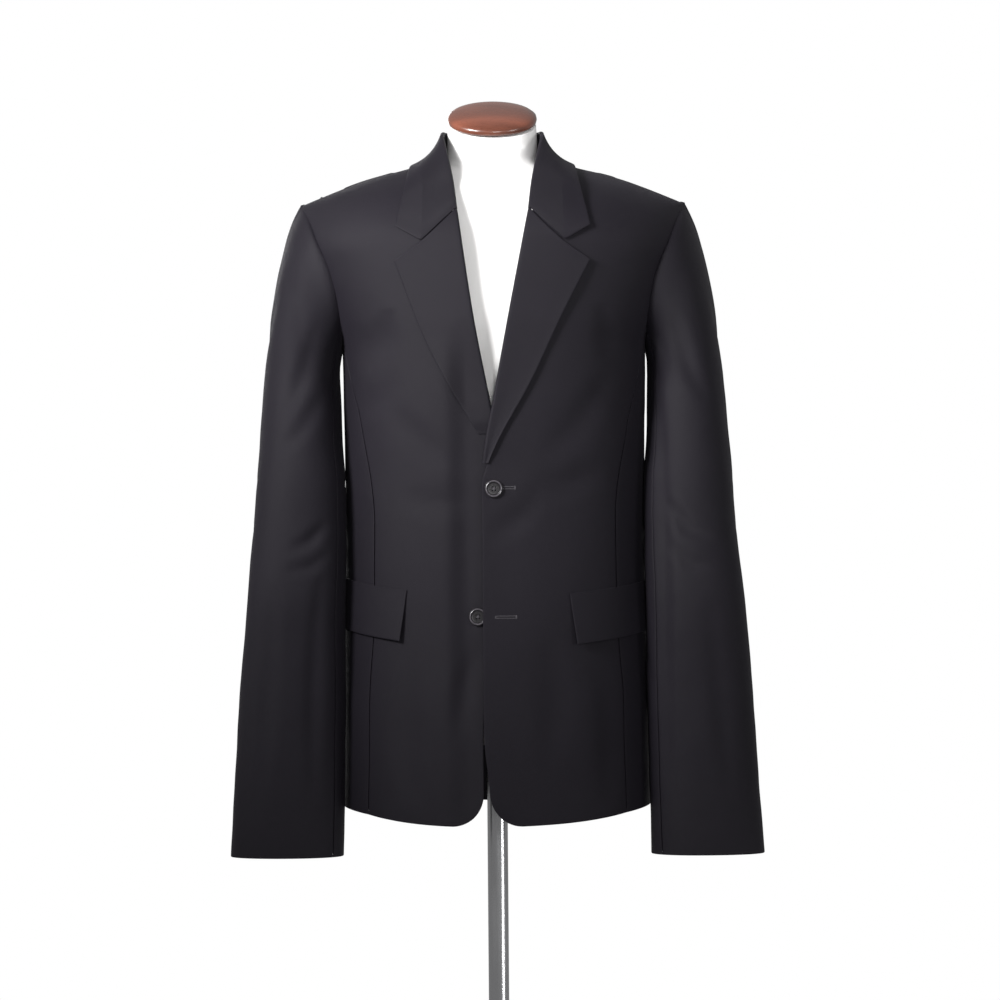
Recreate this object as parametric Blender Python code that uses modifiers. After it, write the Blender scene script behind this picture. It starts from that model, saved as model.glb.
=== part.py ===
"""A single breasted blazer on a limbless dress form.

Metres, +Z up. The front faces -Y and the wearer's left is +X. The origin is on the floor, under the pole.
Every cloth piece is an open grid laid on a few shared surfaces, and Solidify gives it its wall.
"""

import math

import bmesh
import bpy
from mathutils import Matrix, Vector

# --- Driving sizes ---------------------------------------------------------------------------------------

CLOTH = 0.0016  # wall of the body and the sleeves
FACED_CLOTH = 0.0018  # wall of lapels, collar and flaps, which are two layers
SEAM_HALF = 0.00030  # half of the gap between two sewn pieces, along the outer skin
FOLD_RADIUS = 0.0026  # outer radius of the rolled edge of a lapel
FOLD_CLEAR = 0.0026  # from the end of the rolled edge to the front's own edge

HEM_FRONT, HEM_FRONT_SEAM, HEM_SIDE, HEM_BACK_SEAM, HEM_BACK = 0.712, 0.7235, 0.728, 0.7255, 0.720
UNDERARM = 1.245
SHOULDER_TIP = 1.403
BREAK = 1.108  # height where the lapels start to roll
GORGE = 1.388  # height where the collar meets the lapel on the roll line
NECK_POINT = 0.060  # distance of the shoulder seam's neck end from the centre
BACK_NECK = 1.446

CORNER = 0.036  # radius of the cutaway at the foot of each front
SUPERELLIPSE = 2.4  # squareness of the body's horizontal section
ARMHOLE_ANGLE = math.radians(25)  # how far the armhole reaches to the front and the back
TIP_REACH = 0.2165  # distance of the shoulder tip from the centre
ROLL_AT_NECK, ROLL_AT_TIP = 0.110, 0.070  # drop over which the shoulder rolls from its seam to the chest
SHOULDER_SEAM_Y = 0.004
SEAM_REACH = 0.13  # distance of the side seams from the body's axis

ARM_STEP = 12  # degrees between the points round an armhole and a sleeve
SIDE_TOP = 144  # degrees round the armhole where the side panel ends, from the shoulder tip
UNDERSLEEVE = (144, 240)  # degrees round the sleeve between the forearm and the hindarm seam
HEM_ROWS = 3  # close rows over the hem, for the rounded corner of the fronts
LOWER_ROWS = 11  # rows of each body panel below the armhole
FRONT_COLUMNS = (0, 0.07, 0.14, 0.22, 0.34, 0.47, 0.60, 0.74, 0.87, 1)  # shares of a front's width
SIDE_COLUMNS = 6
BACK_COLUMNS = 8
HEM_SAG = 0.0025  # how far a front's hem bows down between its edges
SIDES = ((1, "left"), (-1, "right"))
NUDGE = 1e-4  # step for slopes, in radians or metres

# Body sections: height, half width, depth of the front, depth of the back
BODY = (
    (0.70, 0.1748, 0.138, 0.122),
    (0.80, 0.1728, 0.136, 0.124),
    (0.95, 0.1712, 0.131, 0.113),
    (1.08, 0.1688, 0.128, 0.096),
    (1.20, 0.1700, 0.132, 0.108),
    (UNDERARM, 0.1712, 0.133, 0.117),
    (1.26, 0.1767, 0.133, 0.119),
    (1.285, 0.1863, 0.132, 0.122),
    (1.324, 0.2004, 0.130, 0.124),
    (1.3645, 0.2137, 0.126, 0.122),
    (SHOULDER_TIP, 0.2165, 0.120, 0.112),
    (1.48, 0.2220, 0.104, 0.090),
)

# Shoulder seam seen from the front: distance from the centre, height
RIDGE = (
    (0.0, 1.4600), (0.055, 1.4535), (0.100, 1.4425), (0.143, 1.4310), (0.2165, SHOULDER_TIP), (0.26, 1.385)
)

# Seams between front, side panel and back: height, distance from the centre
FRONT_SEAM = ((0.70, 0.143), (0.85, 0.140), (0.95, 0.134), (1.05, 0.133), (1.15, 0.147), (1.22, 0.163))
BACK_SEAM = ((0.70, 0.128), (0.85, 0.126), (0.95, 0.120), (1.05, 0.118), (1.15, 0.135), (1.22, 0.158))

# Centre edges: height, x. The left front is upright down to where it is cut
# away, and the right front leans out of sight behind it.
LEFT_EDGE = (
    (0.70, -0.0066), (0.745, -0.0078), (0.775, -0.0105), (0.797, -0.0130), (0.814, -0.0140), (1.090, -0.0140)
)
RIGHT_EDGE = ((0.70, -0.0148), (0.803, -0.0146), (0.944, -0.0015), (1.060, 0.0120))
LEFT_ROLL = ((BREAK, -0.0136), (1.135, -0.0100), (1.172, -0.0028), (1.267, 0.0150), (GORGE, 0.0386))
RIGHT_ROLL = ((BREAK, 0.0080), (1.135, 0.0040), (1.172, -0.0030), (1.267, -0.0210), (GORGE, -0.0386))
NECKLINE = ((GORGE + 0.004, 0.0455), (1.420, 0.0490), (1.4526, NECK_POINT))
UNDERLAP_REACH, UNDERLAP_EASE = 0.055, 0.025  # from the centre to where the underlap starts, and its slope
UNDERLAP = ((0.70, 0.0030), (0.80, 0.0036), (0.90, 0.0064), (1.18, 0.0064), (1.27, 0.0))  # height, depth

# Lapel edges: height, x
LEFT_LAPEL_EDGE = ((BREAK, -0.0085), (1.135, 0.0040), (1.2017, 0.0412), (1.2678, 0.0722), (1.333, 0.1055))
RIGHT_LAPEL_EDGE = ((BREAK, 0.0030), (1.1354, -0.0142), (1.243, -0.0731), (1.333, -0.1075))
NOTCH_CORNER = (0.0785, 1.3543)
LAPEL_TIP = (0.1060, 1.3330)
NOTCH_SHARE = 0.576  # share of the lapel's width, from the roll line, where the notch is cut
LAPEL_SHARES = (0, 0.20, 0.40, NOTCH_SHARE, 0.79, 1)
LAPEL_LIFT = ((0.0, 0.0036), (0.35, 0.0034), (0.80, 0.0042), (1.0, 0.0052))  # share of the width, lift
UNDER_LAPEL_LIFT = ((0.0, 0.0036), (0.50, 0.0034), (1.0, 0.0042))
LAPEL_ROWS = 14
HIDDEN_FOOT = 0.034  # the right lapel starts this far above the break, behind the left front
FOLD_STEPS = 3

# Collar, from the gorge to the centre back: share, fold x y z, edge x y z, neck seam x y z
COLLAR = (
    (0.00, 0.0386, -0.1151, 1.3885, 0.1060, -0.1166, 1.3695, 0.0422, -0.1130, 1.3885),
    (0.18, 0.0425, -0.0930, 1.4200, 0.1015, -0.1040, 1.3950, 0.0485, -0.0845, 1.4203),
    (0.36, 0.0495, -0.0600, 1.4560, 0.0965, -0.0790, 1.4230, 0.0545, -0.0525, 1.4402),
    (0.54, 0.0545, -0.0200, 1.4800, 0.0915, -0.0250, 1.4460, 0.0587, -0.0080, 1.4526),
    (0.70, 0.0530, 0.0180, 1.4865, 0.0865, 0.0280, 1.4480, 0.0545, 0.0205, 1.4524),
    (0.85, 0.0350, 0.0440, 1.4868, 0.0580, 0.0575, 1.4425, 0.0345, 0.0385, 1.4492),
    (1.00, 0.0000, 0.0545, 1.4868, 0.0000, 0.0680, 1.4405, 0.0000, 0.0497, 1.4470),
)
COLLAR_DIP = -0.0234  # from the straight end of the collar down to the notch corner
COLLAR_LAID = 0.30  # share of the collar, from the gorge, over which it comes away from the front
COLLAR_CREST = 1.44  # height above which the laid collar no longer follows the front
COLLAR_STEP = 0.02  # share of the collar over which its direction is taken
COLLAR_ROWS = 28

# Sleeves: height, inner side, outer side, middle y, half depth
SLEEVE = (
    (0.675, 0.1715, 0.2972, -0.056, 0.035),
    (0.775, 0.1690, 0.2909, -0.053, 0.038),
    (0.860, 0.1690, 0.2858, -0.049, 0.042),
    (0.955, 0.1708, 0.2775, -0.053, 0.0465),
    (1.040, 0.1682, 0.2698, -0.040, 0.053),
    (1.090, 0.1684, 0.2662, -0.032, 0.058),
    (1.137, 0.1704, 0.2632, -0.020, 0.064),
    (1.197, 0.1729, 0.2595, -0.002, 0.070),
)
SLEEVE_SQUARENESS = 2.2
SLEEVE_TOP = 1.197  # height where the sleeve has become a level tube
# Pull of the sleeve's curves, by degrees from the shoulder tip: outward, down, back up from the tube
SLEEVE_PULL = (
    (0, 0.0105, -0.003, 0.168),
    (60, 0.0160, 0.000, 0.110),
    (110, 0.0140, 0.004, 0.060),
    (150, 0.0050, 0.012, 0.025),
    (180, 0.0014, 0.016, 0.015),
)
SLEEVE_FAN = (1, 0.75, 0.58, 0.42, 0.28, 0.16, 0.07, 0)  # shares from the armhole to the tube
SLEEVE_ROWS = 9  # rows of the tube
SLEEVE_GAP = 0.0006
SLEEVE_LEAD = 0.03  # length of the tube over which its direction at the top is taken
BESIDE_SEAM = (0.05, 0.0005)  # turn and drop from the armhole to where the panels' normal is taken
UPRIGHT_SEAM = 0.1  # sine of the armhole's angle under which its seam counts as level
TIP_SPREAD = 60  # degrees from the shoulder tip over which the sleeve turns down from the shoulder
SLEEVE_SEAM = 0.4  # degrees

# Hip pocket flaps: distance from the centre and height of the front corners, turn of the far end
FLAP_TOP = (0.0888, 0.9713)
FLAP_FOOT = (0.0955, 0.9155)
FLAP_OFFSET = {1: (-0.0080, -0.0050), -1: (0.0080, 0.0)}  # further from the centre and up, on each side
FLAP_END = math.radians(82)
FLAP_RISE = 0.0145  # how much higher the far end is
FLAP_LIFT = FACED_CLOTH + 0.0007  # of the flap's outer skin over the front's
FLAP_STAND_OFF, FLAP_CORNER_OFF = 0.0012, 0.0032  # further lift of the whole foot and of its front corner
FLAP_COLUMNS, FLAP_ROWS = 8, 4

BUTTON_RADIUS, BUTTON_HEIGHT = 0.0100, 0.0030
# Half a button's section, from the middle of its face to the middle of its back: shares of radius and height
BUTTON_PROFILE = ((0.0, 0.62), (0.55, 0.62), (0.70, 1.0), (0.90, 1.0), (1.0, 0.60), (0.85, 0.0), (0.0, 0.0))
BUTTON_STEPS = 20
BUTTON_SEAT = 0.0006  # from the cloth to the back of a button
TOP_BUTTON = (-0.0010, 1.082)
LOW_BUTTON = (-0.0198, 0.942)
TURNED_STEPS = 28

# Dress form: height, half width, depth of the front, depth of the back
FORM = (
    (0.800, 0.1480, 0.110, 0.096),
    (0.840, 0.1530, 0.114, 0.101),
    (0.950, 0.1520, 0.112, 0.094),
    (1.080, 0.1430, 0.106, 0.077),
    (1.200, 0.1500, 0.114, 0.090),
    (1.280, 0.1580, 0.117, 0.102),
    (1.340, 0.1660, 0.112, 0.106),
    (1.380, 0.1710, 0.104, 0.100),
    (1.400, 0.1690, 0.096, 0.092),
    (1.412, 0.1620, 0.090, 0.084),
    (1.420, 0.1490, 0.084, 0.077),
    (1.430, 0.1200, 0.073, 0.064),
    (1.437, 0.0880, 0.062, 0.0480),
    (1.443, 0.0620, 0.0575, 0.0430),
    (1.450, 0.0530, 0.0550, 0.0420),
    (1.462, 0.0510, 0.0530, 0.0430),
    (1.475, 0.0507, 0.0500, 0.0440),
    (1.500, 0.0496, 0.0475, 0.0430),
)
FORM_COLUMNS = 28
FORM_SQUARENESS = 2.2
FORM_SLACK = 0.97  # share of the cloth's depth that the form's shoulders fill
FORM_NECK = (0.056, 1.435)  # distance from the centre and height up to which the form lies under the cloth
FORM_UNDER = 0.0065  # how far the form's shoulders lie under the cloth's outer skin
CAP_TILT = math.radians(25)
CAP_CENTRE = (0.0, -0.0022, 1.4995)
CAP_SEAT = 0.0050  # from the cap's centre down to the top of the neck
CAP_STEPS, BASE_STEPS = 36, 44
CAP_PROFILE = (
    (0.0, 0.0108),
    (0.0200, 0.0102),
    (0.0360, 0.0084),
    (0.0465, 0.0055),
    (0.0500, 0.0028),
    (0.0506, 0.0),
    (0.0500, -0.0025),
    (0.0475, -0.0038),
    (0.0, -0.0038),
)
POLE_RADIUS = 0.0115
BASE_PROFILE = (
    (0.0, 0.030),
    (0.0190, 0.030),
    (0.0215, 0.027),
    (0.0235, 0.019),
    (0.0600, 0.0165),
    (0.1580, 0.0120),
    (0.1720, 0.0085),
    (0.1750, 0.0045),
    (0.1740, 0.0),
    (0.0, 0.0),
)


# --- Curves ----------------------------------------------------------------------------------------------

def smooth(table, at, column=1):
    """A column of a table at a height, on a monotone cubic through the rows."""
    rows = list(table)
    if at <= rows[0][0]:
        return rows[0][column]
    if at >= rows[-1][0]:
        return rows[-1][column]
    slopes = [(b[column] - a[column]) / (b[0] - a[0]) for a, b in zip(rows, rows[1:])]
    tangents = [slopes[0]]
    for before, after in zip(slopes, slopes[1:]):
        same_way = before * after > 0
        tangents.append(2 * before * after / (before + after) if same_way else 0.0)
    tangents.append(slopes[-1])
    for index, (a, b) in enumerate(zip(rows, rows[1:])):
        if at <= b[0]:
            span = b[0] - a[0]
            t = (at - a[0]) / span
            start = (1 + 2 * t) * (1 - t) ** 2 * a[column] + t * (1 - t) ** 2 * span * tangents[index]
            end = t * t * (3 - 2 * t) * b[column] + t * t * (t - 1) * span * tangents[index + 1]
            return start + end
    return rows[-1][column]


def mix(a, b, t):
    return a + (b - a) * t


def ease(t):
    t = min(max(t, 0.0), 1.0)
    return t * t * (3 - 2 * t)


# --- The body's skin -------------------------------------------------------------------------------------

def skin_point(turn, height):
    """A point of the body's outer skin. Turn: 0 at the front centre, over the left side to pi."""
    width = smooth(BODY, height, 1)
    depth = smooth(BODY, height, 2 if math.cos(turn) > 0 else 3)
    x = width * math.sin(turn)
    fullness = max(0.0, 1 - abs(math.sin(turn)) ** SUPERELLIPSE) ** (1 / SUPERELLIPSE)
    y = -math.copysign(depth * fullness, math.cos(turn))
    roll = mix(ROLL_AT_NECK, ROLL_AT_TIP, min(1.0, abs(x) / TIP_REACH))
    drop = max(0.0, smooth(RIDGE, abs(x)) - height)
    if drop < roll:
        y = SHOULDER_SEAM_Y + (y - SHOULDER_SEAM_Y) * math.sqrt(1 - (1 - drop / roll) ** 2)
    return Vector((x, y, height))


def skin_normal(turn, height):
    across = skin_point(turn + NUDGE, height) - skin_point(turn - NUDGE, height)
    upward = skin_point(turn, height + NUDGE) - skin_point(turn, height - NUDGE)
    return across.cross(upward).normalized()


def turn_at(x, height, back=False):
    """The turn where the skin is at this x, on the front or the back."""
    turn = math.asin(max(-1.0, min(1.0, x / smooth(BODY, height, 1))))
    return math.pi - turn if back else turn


def front_point(x, height, out=0.0):
    """A point of the front at this x and height, moved out from the skin."""
    turn = turn_at(x, height)
    return skin_point(turn, height) + skin_normal(turn, height) * out


def armhole(degrees):
    """Turn and height of a point of the left armhole, from the shoulder tip over the front to the back."""
    around = math.radians(degrees)
    height = mix(UNDERARM, SHOULDER_TIP, (1 + math.cos(around)) / 2)
    return math.pi / 2 - ARMHOLE_ANGLE * math.sin(around), height


# --- Rows of the body panels -----------------------------------------------------------------------------

SIDE_TOP_HEIGHT = armhole(SIDE_TOP)[1]
UPPER_ROWS = round(SIDE_TOP / ARM_STEP)
PANEL_ROWS = LOWER_ROWS + UPPER_ROWS


def row_height(row, hem, top, middle=None):
    """Height of a row at one edge: close over the hem, even to the underarm, then the armhole's."""
    rise = (SIDE_TOP_HEIGHT - HEM_SIDE) / (SHOULDER_TIP - HEM_SIDE)
    middle = mix(hem, top, rise) if middle is None else middle
    if row <= HEM_ROWS:
        return hem + CORNER * row / HEM_ROWS
    if row <= LOWER_ROWS:
        return mix(hem + CORNER, middle, (row - HEM_ROWS) / (LOWER_ROWS - HEM_ROWS))
    height = armhole(SIDE_TOP - ARM_STEP * (row - LOWER_ROWS))[1]
    return mix(middle, top, (height - SIDE_TOP_HEIGHT) / (SHOULDER_TIP - SIDE_TOP_HEIGHT))


def side_seam(row, back=False):
    """Turn and height of a row at the seam of the side panel or, above it, at the armhole."""
    if row <= LOWER_ROWS:
        hem = HEM_BACK_SEAM if back else HEM_FRONT_SEAM
        height = row_height(row, hem, SHOULDER_TIP, SIDE_TOP_HEIGHT)
        turn, top = armhole(SIDE_TOP)
        table = BACK_SEAM if back else FRONT_SEAM
        x = smooth((*table, (top, skin_point(turn, top).x)), height)
        return turn_at(x, height, back), height
    turn, height = armhole(SIDE_TOP - ARM_STEP * (row - LOWER_ROWS))
    return (math.pi - turn if back else turn), height


def open_seam(turn, way):
    """Moves a seam's turn by half the gap between two pieces."""
    return turn + way * SEAM_HALF / SEAM_REACH


# --- Making one piece ------------------------------------------------------------------------------------

def finish(name, colour, roughness, metallic=0.0):
    material = bpy.data.materials.new(name)
    material.use_nodes = True
    shader = material.node_tree.nodes["Principled BSDF"]
    shader.inputs["Base Color"].default_value = (*colour, 1.0)
    shader.inputs["Roughness"].default_value = roughness
    shader.inputs["Metallic"].default_value = metallic
    return material


def add_object(name, shape, material, angle=40):
    mesh = bpy.data.meshes.new(name)
    shape.to_mesh(mesh)
    shape.free()
    mesh.shade_smooth()
    mesh.set_sharp_from_angle(angle=math.radians(angle))
    mesh.materials.append(material)
    piece = bpy.data.objects.new(name, mesh)
    PART.objects.link(piece)
    return piece


def sew(name, columns, rows, place, wall, material, flip=False):
    """A grid laid out by place(column, row) as the outer skin of a cloth piece, with its wall inside it."""
    shape = bmesh.new()
    bmesh.ops.create_grid(shape, x_segments=columns, y_segments=rows, size=0.5)
    for vertex in shape.verts:
        column = round((vertex.co.x + 0.5) * columns)
        row = round((vertex.co.y + 0.5) * rows)
        vertex.co = place(column, row)
    if flip:
        bmesh.ops.reverse_faces(shape, faces=shape.faces)
    piece = add_object(name, shape, material)
    solid = piece.modifiers.new("Wall", "SOLIDIFY")
    solid.thickness = wall
    solid.offset = -1.0
    solid.use_even_offset = True
    solid.use_quality_normals = True
    return piece


def sided(point, side):
    """A point of the left side, or its mirror image for the right."""
    return Vector((point.x * side, point.y, point.z))


# --- Fronts, side panels and backs -----------------------------------------------------------------------

def inner_edge(side):
    """Height and distance from the centre of a front's inner edge: centre edge, roll line, neckline."""
    centre, roll = (LEFT_EDGE, LEFT_ROLL) if side > 0 else (RIGHT_EDGE, RIGHT_ROLL)
    behind_fold = FOLD_RADIUS + FOLD_CLEAR
    rows = [(height, x * side) for height, x in centre]
    rows += [(height, x * side + behind_fold) for height, x in roll]
    return tuple(rows) + NECKLINE


def underlap(x, height, side):
    """How far the right front is pressed in where it lies behind the left one."""
    return 0.0 if side > 0 else -smooth(UNDERLAP, height) * ease((x + UNDERLAP_REACH) / UNDERLAP_EASE)


def rounded_corner(reach, rise):
    """Maps the corner of a square of CORNER onto a quarter disc, from the inner edge and the hem."""
    p = 1 - reach / CORNER
    q = 1 - rise / CORNER
    if p <= 0 or q <= 0:
        return reach, rise
    return CORNER * (1 - p * math.sqrt(1 - q * q / 2)), CORNER * (1 - q * math.sqrt(1 - p * p / 2))


def ridge_shift(row, x, height):
    """Lifts the rows over the chest so that the last one runs along the shoulder seam."""
    share = max(0.0, (row - LOWER_ROWS) / UPPER_ROWS)
    return (smooth(RIDGE, x) - height) * share ** 2


def front_place(side):
    edge = inner_edge(side)
    neck_height = smooth(RIDGE, NECK_POINT)

    def place(column, row):
        share = FRONT_COLUMNS[column]
        out_turn, out_height = side_seam(row)
        in_height = row_height(row, HEM_FRONT, neck_height)
        height = mix(in_height, out_height, share)
        height -= HEM_SAG * math.sin(math.pi * share) * (1 - row / PANEL_ROWS)
        in_turn = turn_at(smooth(edge, in_height), in_height)
        turn = mix(in_turn, open_seam(out_turn, -1), share)
        top_turn = mix(turn_at(NECK_POINT, neck_height), math.pi / 2, share)
        top_height = mix(neck_height, SHOULDER_TIP, share)
        height += ridge_shift(row, skin_point(top_turn, top_height).x, top_height)
        if row < HEM_ROWS:
            inner = smooth(edge, in_height)
            hem = height - (in_height - HEM_FRONT)
            x = skin_point(turn, height).x
            reach, rise = rounded_corner(x - inner, height - hem)
            height = hem + rise
            turn = turn_at(inner + reach, height)
        point = skin_point(turn, height)
        point += skin_normal(turn, height) * underlap(point.x * side, height, side)
        if row == PANEL_ROWS:
            point.y = SHOULDER_SEAM_Y - 2 * SEAM_HALF
        return sided(point, side)

    return place


def side_place(side):
    def place(column, row):
        share = column / SIDE_COLUMNS
        front_turn, front_height = side_seam(row)
        back_turn, back_height = side_seam(row, back=True)
        height = mix(front_height, back_height, share)
        turn = mix(open_seam(front_turn, 1), open_seam(back_turn, -1), share)
        bow = math.sin(math.pi * share)
        if row <= HEM_ROWS:
            height += (HEM_SIDE - HEM_FRONT_SEAM) * bow
        across = mix(SIDE_TOP, 360 - SIDE_TOP, share)
        dip = ease((row - 2 * HEM_ROWS) / (LOWER_ROWS - 2 * HEM_ROWS))
        height += (armhole(across)[1] - SIDE_TOP_HEIGHT) * dip
        turn += (armhole(across)[0] - mix(armhole(SIDE_TOP)[0], armhole(360 - SIDE_TOP)[0], share)) * dip
        return sided(skin_point(turn, height), side)

    return place


def back_place(side):
    neck_height = smooth(RIDGE, NECK_POINT)

    def place(column, row):
        share = column / BACK_COLUMNS
        out_turn, out_height = side_seam(row, back=True)
        in_height = row_height(row, HEM_BACK, BACK_NECK)
        height = mix(in_height, out_height, share)
        turn = mix(open_seam(math.pi, -1), open_seam(out_turn, 1), share)
        top_x = skin_point(mix(math.pi, math.pi / 2, share), SHOULDER_TIP).x
        top_height = smooth(RIDGE, top_x)
        if top_x < NECK_POINT:
            top_height = mix(BACK_NECK, neck_height, (top_x / NECK_POINT) ** 2)
        rise = max(0.0, (row - LOWER_ROWS) / UPPER_ROWS) ** 2
        height += (top_height - mix(BACK_NECK, SHOULDER_TIP, share)) * rise
        point = skin_point(turn, height)
        if row == PANEL_ROWS and top_x >= NECK_POINT:
            point.y = SHOULDER_SEAM_Y + 2 * SEAM_HALF
        return sided(point, side)

    return place


def make_body(cloth):
    for side, name in SIDES:
        sew(f"front_{name}", len(FRONT_COLUMNS) - 1, PANEL_ROWS, front_place(side), CLOTH, cloth, side < 0)
        sew(f"side_{name}", SIDE_COLUMNS, LOWER_ROWS, side_place(side), CLOTH, cloth, side < 0)
        sew(f"back_{name}", BACK_COLUMNS, PANEL_ROWS, back_place(side), CLOTH, cloth, side > 0)


# --- Lapels and collar -----------------------------------------------------------------------------------

def roll_line(side, height):
    return smooth(LEFT_ROLL if side > 0 else RIGHT_ROLL, height) * side


def faced_point(x, height, out, side):
    """A point of a front, moved out from its skin and pressed in where the other front overlaps it."""
    return front_point(x, height, out + underlap(x * side, height, side))


def fold_point(angle, side, height):
    """A point round the rolled edge, from the inside at 0 over the roll line to the outside at pi."""
    centre = roll_line(side, height) + FOLD_RADIUS
    out = FOLD_RADIUS - CLOTH - FOLD_RADIUS * math.cos(angle)
    return faced_point(centre - FOLD_RADIUS * math.sin(angle), height, out, side)


def lapel_place(side):
    edge = LEFT_LAPEL_EDGE if side > 0 else RIGHT_LAPEL_EDGE
    lift = LAPEL_LIFT if side > 0 else UNDER_LAPEL_LIFT
    foot = BREAK + (0.002 if side > 0 else HIDDEN_FOOT)

    def top_height(share):
        if share < NOTCH_SHARE:
            return mix(GORGE, NOTCH_CORNER[1], share / NOTCH_SHARE) - SEAM_HALF
        return mix(NOTCH_CORNER[1], LAPEL_TIP[1], (share - NOTCH_SHARE) / (1 - NOTCH_SHARE)) - SEAM_HALF

    def place(column, row):
        up = row / LAPEL_ROWS
        if column <= FOLD_STEPS:
            height = mix(foot, top_height(0), up)
            return sided(fold_point(math.pi * column / (FOLD_STEPS + 1), side, height), side)
        share = LAPEL_SHARES[column - FOLD_STEPS - 1]
        height = mix(foot, top_height(share), up)
        start = roll_line(side, height) + FOLD_RADIUS
        end = max(start + 0.002, smooth(edge, height) * side)
        return sided(faced_point(mix(start, end, share), height, smooth(lift, share), side), side)

    return place


def collar_place(column, row):
    along = 1 - abs(2 * row / COLLAR_ROWS - 1)
    side = 1 if row <= COLLAR_ROWS / 2 else -1
    values = [smooth(COLLAR, along, index) for index in range(1, 10)]
    fold, edge, seam = Vector(values[0:3]), Vector(values[3:6]), Vector(values[6:9])
    ahead = [smooth(COLLAR, min(1, along + COLLAR_STEP), index) for index in range(1, 4)]
    behind = [smooth(COLLAR, max(0, along - COLLAR_STEP), index) for index in range(1, 4)]
    tangent = Vector(ahead) - Vector(behind)
    if along == 1:
        tangent = Vector((-1, 0, 0))
    outward = (edge - fold).cross(tangent).normalized()
    crown = tangent.cross(outward).normalized()
    centre = fold - crown * FOLD_RADIUS
    on_front = 1 - ease(along / COLLAR_LAID)
    if column < 2:
        point = mix(seam, centre - outward * FOLD_RADIUS, column / 2)
        if along == 0:
            point = front_point(seam.x - 0.0005 * column, GORGE + SEAM_HALF, -CLOTH)
        return sided(point, side)
    if column <= FOLD_STEPS + 2:
        angle = math.pi * (column - 2) / (FOLD_STEPS + 1)
        free = centre + (crown * math.sin(angle) - outward * math.cos(angle)) * FOLD_RADIUS
        across = FOLD_RADIUS - CLOTH - FOLD_RADIUS * math.cos(angle)
        laid = front_point(fold.x + FOLD_RADIUS * (1 - math.sin(angle)), fold.z, across)
        return sided(mix(free, laid, on_front), side)
    share = LAPEL_SHARES[column - FOLD_STEPS - 3]
    free = mix(centre + outward * FOLD_RADIUS, edge, share)
    dip = min(share / NOTCH_SHARE, (1 - share) / (1 - NOTCH_SHARE)) * (1 - ease(along / COLLAR_LAID)) ** 1.5
    height = mix(fold.z, edge.z, share) + COLLAR_DIP * dip
    level = min(height, COLLAR_CREST)
    laid = front_point(mix(fold.x + FOLD_RADIUS, edge.x, share), level, smooth(LAPEL_LIFT, share))
    return sided(mix(free, laid, on_front), side)


def make_collar(cloth):
    for side, name in SIDES:
        columns = FOLD_STEPS + len(LAPEL_SHARES)
        sew(f"lapel_{name}", columns, LAPEL_ROWS, lapel_place(side), FACED_CLOTH, cloth, side < 0)
    sew("collar", FOLD_STEPS + 2 + len(LAPEL_SHARES), COLLAR_ROWS, collar_place, FACED_CLOTH, cloth)


# --- Sleeves ---------------------------------------------------------------------------------------------

def armhole_frame(degrees):
    """A point of the armhole, the panels' normal and the direction across the seam into the sleeve."""
    turn, height = armhole(degrees)
    lean = math.sin(math.radians(degrees))
    ways = (-1, 1) if abs(lean) < UPRIGHT_SEAM else (-math.copysign(1, lean),)
    aside, below = BESIDE_SEAM
    normal = sum((skin_normal(turn + aside * way, height - below) for way in ways), Vector()).normalized()
    ahead = skin_point(*armhole(degrees + 1))
    behind = skin_point(*armhole(degrees - 1))
    return skin_point(turn, height), normal, normal.cross(ahead - behind).normalized()


def sleeve_ring(degrees, height):
    inner, outer, middle_y, half_depth = (smooth(SLEEVE, height, column) for column in (1, 2, 3, 4))
    around = math.radians(degrees)
    power = 2 / SLEEVE_SQUARENESS
    across = math.copysign(abs(math.cos(around)) ** power, math.cos(around))
    forward = math.copysign(abs(math.sin(around)) ** power, math.sin(around))
    middle_x, half_width = (inner + outer) / 2, (outer - inner) / 2
    return Vector((middle_x + half_width * across, middle_y - half_depth * forward, height))


def sleeve_point(degrees, row):
    """A point of the left sleeve: rows run up the tube from the cuff, then fan out to the armhole."""
    if row <= SLEEVE_ROWS:
        return sleeve_ring(degrees, mix(SLEEVE[0][0], SLEEVE_TOP, row / SLEEVE_ROWS))
    t = SLEEVE_FAN[row - SLEEVE_ROWS]
    point, normal, across = armhole_frame(degrees)
    start = point + across * SLEEVE_GAP
    end = sleeve_ring(degrees, SLEEVE_TOP)
    from_tip = min(degrees % 360, 360 - degrees % 360)
    pull, down, back = (smooth(SLEEVE_PULL, from_tip, column) for column in (1, 2, 3))
    leave = mix(across, normal, ease(from_tip / TIP_SPREAD)).normalized()
    first = start + leave * pull - Vector((0, 0, down))
    slope = sleeve_ring(degrees, SLEEVE_TOP - SLEEVE_LEAD) - end
    second = end - slope.normalized() * back
    return (1 - t) ** 3 * start + 3 * t * (1 - t) ** 2 * first + 3 * t * t * (1 - t) * second + t ** 3 * end


def make_sleeves(cloth):
    rows = SLEEVE_ROWS + len(SLEEVE_FAN) - 1
    fore, hind = UNDERSLEEVE
    spans = (
        ("top", hind - 360 + SLEEVE_SEAM, fore - SLEEVE_SEAM),
        ("under", fore + SLEEVE_SEAM, hind - SLEEVE_SEAM),
    )
    for side, name in SIDES:
        for part, first, last in spans:
            columns = round((last - first) / ARM_STEP)

            def place(column, row, first=first, last=last, columns=columns, side=side):
                return sided(sleeve_point(mix(first, last, column / columns), row), side)

            sew(f"sleeve_{part}_{name}", columns, rows, place, CLOTH, cloth, side > 0)


# --- Flaps and buttons -----------------------------------------------------------------------------------

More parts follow.
